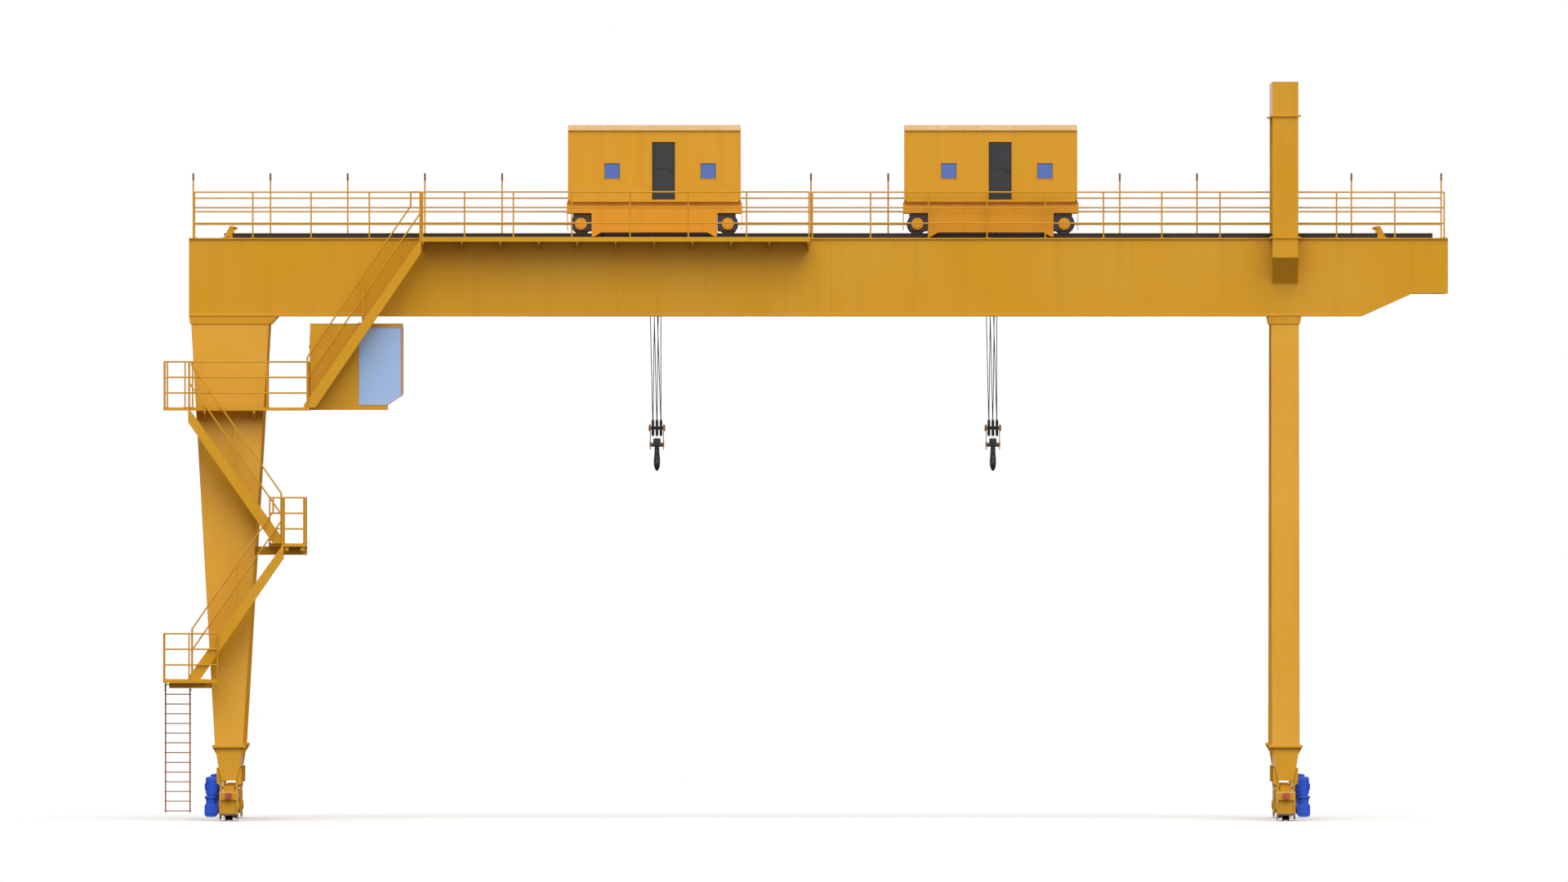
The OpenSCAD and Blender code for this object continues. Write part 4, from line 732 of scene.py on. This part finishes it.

# Ladder
# A plain upright ladder of flat stiles and round rungs, with the rungs welded through the
# stiles. Its rubbed enamel is a dark brown that is painted shade, and clamps fix it under its
# platform.

# Dark brown ladder enamel: painted shade, a darkened copy of the crane yellow.
ladder_painted_shade_brown = enamelled("ladder_painted_shade_brown", (0.36, 0.120, 0.006), 0.5, 1.0, 0.3)
finish_nodes(ladder_painted_shade_brown, "ladder")
ladder_sides = ((-16.829, -1), (-16.093, 1))
ladder_y, first_rung_z, rung_pitch = -3.77, 0.268, 0.276
ladder = bmesh.new()
for k in range(14):
    for x, out in ladder_sides:
        rung = Vector((x, ladder_y, first_rung_z + k * rung_pitch))
        outward = east * out
        round_bar(ladder, rung - outward * 0.002, rung + outward * 0.008, 0.019, 0.015, 12)
for x, out in ladder_sides:
    plate(ladder, (x + out * 0.001, -3.802, 0.225), (x - out * 0.041, -3.738, 0.243), 0.002)
    for z in (3.80, 3.70):
        clamp_x = x + out * 0.01
        plate(ladder, (x, -3.795, z - 0.03), (clamp_x, -3.745, z + 0.03), 0.002)
        bolt(ladder, (clamp_x, ladder_y, z), (out, 0, 0), 0.012)
made_piece("ladder_welds_and_clamps", ladder, ladder_painted_shade_brown, "crane")

# Cab
# The driver's cab is a sheet steel box hung from the girder by a thick plate. Its large panes of
# pale blue glass sit in pale rubber gaskets: the blue is partly the tint of the glass and partly
# painted light against the girder's shade. A steel door with a lever handle opens to the stair.

tinted, tint = shader_group("tinted_glass", Colour=(0.3, 0.4, 0.7, 1), Dust=0.3)
filmed = combine(tinted, spread(tinted, noise(tinted, 1.6, 4), 0.35, 0.75), tint["Dust"])
film_colour = blend_colour(tinted, 0.35, tint["Colour"], (0.62, 0.68, 0.86, 1))
glass_colour = blend_colour(tinted, combine(tinted, filmed, 0.4), tint["Colour"], film_colour)
glass_gloss = combine(tinted, 0.05, combine(tinted, filmed, 0.12), "ADD")
group_results(tinted, glass_colour, glass_gloss, noise(tinted, 0.8, 1))


def glass(name, colour, dust, clear):
    values = {"Colour": (*colour, 1), "Dust": dust}
    return grouped_material(name, tinted, values, 0.0008, Transmission_Weight=clear, IOR=1.45)


# Cab pane colour: a pale blue tint, brightened with painted light to offset the girder's shade.
finish_nodes(glass("cab_glass", (0.43, 0.62, 0.96), 0.5, 0.25), "cab_glass")
door_grey = enamelled("door_grey", (0.036, 0.036, 0.042), 0.0, 0.3, 0.2)
finish_nodes(door_grey, "cab_door", "house_door_left", "house_door_right")

cab_left, cab_right, cab_top = -12.717, -10.087, 14.114
cab_near, cab_far, cab_floor = -2.85, -1.15, 11.658
pane_top, end_pane_sill = 14.007, 12.132
pane_outline = (
    (-11.331, 11.802), (-10.527, 11.802), (-10.127, 12.060), (-10.127, pane_top),
    (-11.331, pane_top),
)
gasket_rubber = rubber("gasket_rubber", (0.46, 0.34, 0.36))
gaskets = bmesh.new()


def rim(mesh, corners, y, radius):
    for (x0, z0), (x1, z1) in zip(corners, corners[1:] + corners[:1]):
        round_bar(mesh, (x0, y, z0), (x1, y, z1), radius, sides=8)


for y in (cab_near - 0.001, cab_far + 0.001):
    rim(gaskets, pane_outline, y, 0.012)
end_x, end_near, end_far = cab_right + 0.001, cab_near + 0.04, cab_far - 0.04
for y in (end_near, end_far):
    round_bar(gaskets, (end_x, y, end_pane_sill), (end_x, y, pane_top), 0.012, sides=8)
for z in (end_pane_sill, pane_top):
    round_bar(gaskets, (end_x, end_near, z), (end_x, end_far, z), 0.012, sides=8)
made_piece("cab_gaskets", gaskets, gasket_rubber, "crane")

hanger_sides = ((-11.249, -1), (-11.159, 1))
cab = bmesh.new()
for y, out in ((cab_near, -1), (cab_far, 1)):
    trim_y = y + out * 0.008
    for z, trim_right in ((cab_top - 0.03, cab_right - 0.01), (cab_floor, -10.53)):
        plate(cab, (cab_left + 0.01, y, z), (trim_right, trim_y, z + 0.03), 0.002)
for y in (-2.5, -2.25, -2.0):
    for x, out in hanger_sides:
        foot_top = cab_top + 0.018
        plate(cab, (x, y - 0.07, cab_top), (x + out * 0.11, y + 0.07, foot_top), 0.003)
        for dy in (-0.04, 0.04):
            bolt(cab, (x + out * 0.07, y + dy, foot_top), up, 0.016)
frame_x, hinge_x = cab_left - 0.012, cab_left - 0.018
for y in (-2.62, -1.98):
    plate(cab, (frame_x, y - 0.03, 11.70), (cab_left, y + 0.03, 13.79), 0.003)
plate(cab, (frame_x, -2.62, 13.74), (cab_left, -1.98, 13.80), 0.003)
for z in (12.05, 12.75, 13.45):
    round_bar(cab, (hinge_x, -2.655, z - 0.05), (hinge_x, -2.655, z + 0.05), 0.014, sides=12)
made_piece("cab_trim_and_hanger_bolts", cab, crane_yellow, "crane")

handle_steel = steel_finish("handle_steel", (0.32, 0.32, 0.33), 0.1, 0.1, 0.9)


def lever_handle(mesh, spot, out, along):
    spot, out, along = Vector(spot), Vector(out), Vector(along)
    round_bar(mesh, spot, spot + out * 0.012, 0.028, sides=16)
    round_bar(mesh, spot + out * 0.012, spot + out * 0.055, 0.011, sides=12)
    round_bar(mesh, spot + out * 0.05, spot + out * 0.05 + along * 0.13, 0.010, 0.008, 12)


cab_handle = bmesh.new()
lever_handle(cab_handle, (cab_left + 0.01, -2.10, 12.72), (-1, 0, 0), (0, -1, 0))
made_piece("cab_door_handle", cab_handle, handle_steel, "crane")

# Trolleys
# A welded frame runs on four wheels, whose dark axle boxes are bolted up under flat pads. Bolted
# yellow caps close the axle ends, and ribs stiffen the recessed band above the frame.

trolleys = (("left", -2.932), ("right", 6.640))
frame_side_y, wheel_x, wheel_z = 2.5, 2.09, 16.9535
frame_welds = (
    (-2.46, 17.262, -1.78, 17.262), (1.78, 17.262, 2.46, 17.262),
    (-1.78, 16.715, -1.78, 17.26), (1.78, 16.715, 1.78, 17.26),
)
frame_paint = enamelled("frame_yellow", (0.68, 0.285, 0.010), 0.5, 0.5, 0.6)
for side, middle in trolleys:
    finish_nodes(frame_paint, f"side_beams_{side}", f"cross_beams_{side}")
    parts = bmesh.new()
    for face in (-1, 1):
        out = Vector((0, face, 0))
        for wheel in (-wheel_x, wheel_x):
            hub = Vector((middle + wheel, face * 2.44, wheel_z))
            round_bar(parts, hub, hub + out * 0.010, 0.168, sides=40)
            round_bar(parts, hub + out * 0.010, hub + out * 0.022, 0.118, 0.112, 40)
            bolt_circle(parts, hub + out * 0.010, out, 0.143, 8, 0.012)
        y = face * frame_side_y * 0.9995
        for x0, z0, x1, z1 in frame_welds:
            weld(parts, (middle + x0, y, z0), (middle + x1, y, z1), 0.006)
        for rib in (-1.2, -0.6, 0.0, 0.6, 1.2):
            x = middle + rib
            plate(parts, (x - 0.006, face * 2.37, 17.44), (x + 0.006, face * 2.47, 17.565))
        for end in (-1, 1):
            plate(
                parts, (middle + end * 1.80, face * 2.395, 17.262),
                (middle + end * 2.31, face * 2.44, 17.275), 0.003,
            )
            for dx in (-0.2, -0.08, 0.08, 0.17):
                seat = (middle + end * (2.055 + dx), face * 2.455, 17.26)
                bolt(parts, seat, -up, 0.014)
    made_piece(
        f"axle_caps_and_frame_seams_{side}", parts, frame_paint, f"trolley_{side}",
        sharp=45,
    )

# Trolley houses
# Sheet steel houses over the hoists, with an arched roof of lapped sheets. Front and back have two
# small windows in welded frames with dark rubber seals, and the front has a framed, hinged door.

house_paint = enamelled("house_yellow", (0.66, 0.305, 0.010), 0.5, 0.25, 0.7)
# The roof yellow is a darker copy of the house yellow: painted shade against the stronger top
# light.
roof_shaded_paint = enamelled("roof_yellow_painted_shade", (0.50, 0.25, 0.02), 0.5, 0.3, 0.4, specular=0.08)
house_glass = glass("house_glass", (0.085, 0.170, 0.52), 0.4, 0.15)
seal_rubber = rubber("seal_rubber", (0.10, 0.045, 0.035))
forged_dark = steel_finish("dark_handle_steel", (0.022, 0.022, 0.026), 0.05, 0.3, 0.4)
wall_y, half, base_z, eave_z = 2.48, 2.455, 17.57, 19.59
arc_y, arch_rise = wall_y + 0.04, 0.170
roof_points = [(-arc_y, eave_z + 0.004)] + [
    (-arc_y + 2 * arc_y * i / 12, eave_z + 0.020 + arch_rise * math.sin(math.pi * i / 12))
    for i in range(13)
] + [(arc_y, eave_z + 0.004)]
seam_pitch, first_seam = 0.372, -2.278
window_lefts, window_low_z = (-1.415, 1.316), base_z + 0.664
window_frame = (
    (-0.022, -0.022, 0.458, 0.0), (-0.022, 0.436, 0.458, 0.458),
    (-0.022, 0.0, 0.0, 0.436), (0.436, 0.0, 0.458, 0.436),
)
door_frame = ((-0.03, 0.0, -0.01, 1.67), (0.65, 0.68, -0.01, 1.67), (0.0, 0.65, 1.64, 1.67))
for side, middle in trolleys:
    body = f"trolley_{side}"
    finish_nodes(house_paint, f"house_walls_{side}")
    finish_nodes(roof_shaded_paint, f"house_roof_{side}")
    finish_nodes(house_glass, f"house_glass_{side}")
    lapped = bmesh.new()
    for k in range(13):
        x = middle + first_seam + k * seam_pitch
        for (ya, za), (yb, zb) in zip(roof_points, roof_points[1:]):
            round_bar(lapped, (x, ya, za), (x, yb, zb), 0.0085, sides=6)
    made_piece(f"roof_seams_{side}", lapped, roof_shaded_paint, body)

    shell = bmesh.new()
    left, right = middle - half, middle + half
    for face in (-1, 1):
        y = face * wall_y
        proud = y + face * 0.010
        for x in (left, right - 0.05):
            plate(shell, (x, y, base_z + 0.01), (x + 0.05, proud, eave_z), 0.002)
        plate(shell, (left, y, base_z), (right, proud, base_z + 0.045), 0.002)
        for window in window_lefts:
            x, z = middle + window, window_low_z
            for x0, z0, x1, z1 in window_frame:
                plate(shell, (x + x0, y, z + z0), (x + x1, proud, z + z1), 0.002)
        for seam in (-0.85, 0.85):
            weld(shell, (middle + seam, y, base_z + 0.045), (middle + seam, y, eave_z), 0.004)
    door_x, door_z = middle - 0.063, base_z + 0.066
    for x0, x1, z0, z1 in door_frame:
        corner = (door_x + x0, -wall_y - 0.012, door_z + z0)
        plate(shell, corner, (door_x + x1, -wall_y, door_z + z1), 0.003)
    made_piece(f"house_seams_and_frames_{side}", shell, house_paint, body)

    door = bmesh.new()
    panel_y = -wall_y + 0.015
    for z0, z1 in ((0.10, 0.78), (0.88, 1.56)):
        corner = (door_x + 0.06, panel_y - 0.008, door_z + z0)
        plate(door, corner, (door_x + 0.59, panel_y, door_z + z1), 0.005)
    for z in (0.2, 0.82, 1.44):
        hinge = Vector((door_x + 0.012, -wall_y + 0.006, door_z + z))
        round_bar(door, hinge - up * 0.05, hinge + up * 0.05, 0.012, sides=12)
    made_piece(f"house_door_panels_{side}", door, door_grey, body)
    handle = bmesh.new()
    lever_handle(handle, (door_x + 0.59, panel_y, door_z + 0.83), (0, -1, 0), (-1, 0, 0))
    made_piece(f"house_door_handle_{side}", handle, forged_dark, body)

    seals = bmesh.new()
    for y in (-wall_y + 0.012, wall_y - 0.012):
        for window in window_lefts:
            x0, z0 = middle + window + 0.006, window_low_z + 0.006
            x1, z1 = x0 + 0.424, z0 + 0.424
            rim(seals, ((x0, z0), (x1, z0), (x1, z1), (x0, z1)), y, 0.007)
    made_piece(f"house_window_seals_{side}", seals, seal_rubber, body)

# Rope drums
# A machined steel drum, shiny with rope grease, turns between the middle cross beams. Its end
# discs are bolted on, and bolted bearing caps hold the shaft.

drum_steel = steel_finish("drum_steel", (0.16, 0.155, 0.16), 0.15, 0.8, 0.8)
drum_z, hook_offset = 17.22, 0.068
for side, middle in trolleys:
    finish_nodes(drum_steel, f"rope_drum_{side}")
    bearings = bmesh.new()
    hook_x = middle + hook_offset
    for beam, disc, out in ((-0.58, -0.362, -east), (0.58, 0.326, east)):
        face = Vector((hook_x + beam, 0, drum_z))
        round_bar(bearings, face, face + out * 0.014, 0.095, sides=32)
        round_bar(bearings, face + out * 0.014, face + out * 0.03, 0.066, 0.060, 32)
        bolt_circle(bearings, face + out * 0.014, out, 0.08, 6, 0.011)
        bolt_circle(bearings, (hook_x + disc, 0, drum_z), out, 0.2, 6, 0.013, start=0)
    made_piece(
        f"drum_bearing_caps_{side}", bearings, drum_steel, f"trolley_{side}"
    )

# Ropes
# Six falls of steel wire rope to each hook block, laid from six strands and greased. They run
# from the drum to the sheaves.

rope_steel = steel_finish("rope_steel", (0.050, 0.042, 0.048), 0.3, 0.9, 0.5, bump=0.0008)
rope_radius, rope_lay, rope_step, sheave_z = 0.0124, 0.30, 0.045, 11.146
fall_y, sheave_pitch = 0.2343, 0.115
fall_tops = ((-1, (-0.252, -0.144, -0.072)), (1, (-0.036, 0.072, 0.108)))
for side, middle in trolleys:
    hook_x = middle + hook_offset
    strands = bmesh.new()
    for face, k, top_x in [(face, k, x) for face, tops in fall_tops for k, x in enumerate(tops)]:
        low_end = Vector((hook_x + (k - 1) * sheave_pitch, face * fall_y, sheave_z))
        top_end = Vector((hook_x + top_x, face * fall_y, drum_z))
        steps = int((top_end - low_end).length / rope_step)
        rings = []
        for step in range(steps + 1):
            spot = low_end.lerp(top_end, step / steps)
            twist = math.tau * step * rope_step / rope_lay
            ring = []
            for lobe in range(12):
                radius = rope_radius if lobe % 2 else rope_radius * 0.80
                turn = twist + math.tau * lobe / 12
                ring.append(strands.verts.new(spot + polar(turn, radius)))
            rings.append(ring)
        skin(strands, rings)
    wire_ropes = made_piece(
        f"wire_ropes_{side}", strands, rope_steel, None, sharp=None
    )
    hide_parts(f"ropes_{side}")
    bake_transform(wire_ropes)

# Hook blocks and hooks
# Two painted cheek plates hold dark cast sheaves on a greased axle, above the crosshead with its
# big nut. The single hook is forged from dark steel, with a bulged section and a tapered tip.

block, block_in = shader_group(
    "block_paint", Colour=(0.5, 0.2, 0.01, 1), Steel=(0.03, 0.03, 0.035, 1)
)
block_place = add_node(block, "TexCoord", {}, "Object")
along_x = add_node(block, "SeparateXYZ", {"Vector": block_place}, "X")
off_left, off_right = (
    combine(block, combine(block, along_x, middle + hook_offset, "SUBTRACT"), 0.0, "ABSOLUTE")
    for side, middle in trolleys
)
on_cheek = spread(block, combine(block, off_left, off_right, "MINIMUM"), 0.172, 0.174)
worn_edge = combine(block, spread(block, noise(block, 14, 6), 0.56, 0.62), 0.6)
painted = combine(block, on_cheek, combine(block, 1.0, worn_edge, "SUBTRACT"))
block_colour = blend_colour(block, painted, block_in["Steel"], block_in["Colour"])
block_gloss = spread(block, noise(block, 7, 3), 0.3, 0.7, 0.32, 0.55)
block_grain = combine(block, noise(block, 70, 3), painted, "ADD")
group_results(block, block_colour, block_gloss, block_grain)
block_finish = grouped_material("hook_block_finish", block, {}, bump=0.0008)
forged_steel = steel_finish("forged_steel", (0.016, 0.016, 0.020), 0.05, 0.6, 0.4)
crosshead_z = 10.669
bowl_z = crosshead_z - 0.530
shank_radius = 0.045
# Stations along the hook, in mm from the centre of its bowl: inner y and z, outer y and z, and
# the half widths at the inner and outer edge.
hook_stations = (
    (54, 472, -54, 472, 52, 52), (67, 458, -67, 458, 67, 67), (68, 400, -68, 400, 69, 69),
    (68, 340, -76, 350, 72, 72), (64, 285, -106, 298, 76, 75), (53, 232, -142, 246, 82, 78),
    (34, 186, -170, 196, 87, 82), (2, 142, -188, 140, 93, 84), (-60, 104, -199, 81, 98, 84),
    (-104, 60, -217, 18, 100, 82), (-120, 0, -214, -50, 100, 74), (-104, -60, -184, -128, 94, 62),
    (-60, -104, -108, -194, 84, 40), (0, -120, -6, -220, 80, 26), (60, -104, 94, -200, 84, 36),
    (104, -60, 172, -146, 92, 58), (119, -8, 214, -50, 92, 70), (118, 40, 217, 12, 82, 66),
    (128, 78, 206, 62, 66, 54), (146, 110, 190, 103, 44, 38), (158, 128, 180, 122, 20, 18),
)
finer, facets = 4, 24


def station_between(share, before, start, end, after):
    return [
        0.5 * (
            2 * b + (c - a) * share + (2 * a - 5 * b + 4 * c - d) * share ** 2
            + (3 * b - a - 3 * c + d) * share ** 3
        )
        for a, b, c, d in zip(before, start, end, after)
    ]


def forged_hook(mesh, x):
    last = len(hook_stations) - 1
    stations = [
        station_between(
            step / finer, hook_stations[max(i - 1, 0)], hook_stations[i], hook_stations[i + 1],
            hook_stations[min(i + 2, last)],
        )
        for i in range(last) for step in range(finer)
    ]
    stations.append(list(hook_stations[-1]))
    rings = []
    for inner_y, inner_z, outer_y, outer_z, inner_half, outer_half in stations:
        ring = []
        for k in range(facets):
            turn = math.tau * k / facets
            across = 0.5 * (1 - math.cos(turn))
            half_width = inner_half + (outer_half - inner_half) * across
            bulge = math.copysign(abs(math.sin(turn)) ** 0.75, math.sin(turn))
            ring.append(mesh.verts.new((
                x + half_width * bulge / 1000,
                (inner_y + (outer_y - inner_y) * across) / 1000,
                bowl_z + (inner_z + (outer_z - inner_z) * across) / 1000,
            )))
        rings.append(ring)
    skin(mesh, rings)
    shank = Vector((x, 0, bowl_z))
    round_bar(mesh, shank + up * 0.460, shank + up * 0.689, shank_radius, sides=32)


cheek_bolts = ((0.1, 11.21), (0.09, 10.78), (0.06, 10.56))
for side, middle in trolleys:
    hook_x = middle + hook_offset
    body = f"hook_{side}"
    finish_nodes(block_finish, f"hook_block_{side}")
    forging = bmesh.new()
    forged_hook(forging, hook_x)
    hook_piece = made_piece(f"forged_hook_{side}", forging, forged_steel, body, 50)
    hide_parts(f"hook_{side}")
    parts = bmesh.new()
    for outward in (-east, east):
        boss = Vector((hook_x, 0, sheave_z)) + outward * 0.230
        round_bar(parts, boss, boss + outward * 0.008, 0.060, sides=28)
        bolt_circle(parts, boss, outward, 0.075, 3, 0.010, start=0)
        cheek = Vector((hook_x, 0, crosshead_z)) + outward * 0.199
        round_bar(parts, cheek, cheek + outward * 0.010, 0.070, sides=28)
        for bolt_y, bolt_z in cheek_bolts:
            for y in (-bolt_y, bolt_y):
                bolt(parts, (cheek.x, y, bolt_z), outward, 0.012)
        corner, opposite = cheek + Vector((0, -0.05, 0.05)), cheek + Vector((0, 0.05, 0.085))
        plate(parts, corner, opposite + outward * 0.012, 0.003)
    made_piece(f"hook_block_bolts_{side}", parts, forged_steel, body)
    nut = bmesh.new()
    top = Vector((hook_x, 0, crosshead_z + 0.175))
    for k in range(6):
        spot = top + polar(math.tau * k / 6, 0.088)
        round_bar(nut, spot, spot + up * 0.006, 0.010, sides=10)
    round_bar(nut, top - up * 0.02, top + up * 0.012, 0.062, 0.056, 24)
    made_piece(f"hook_nut_{side}", nut, forged_steel, body)
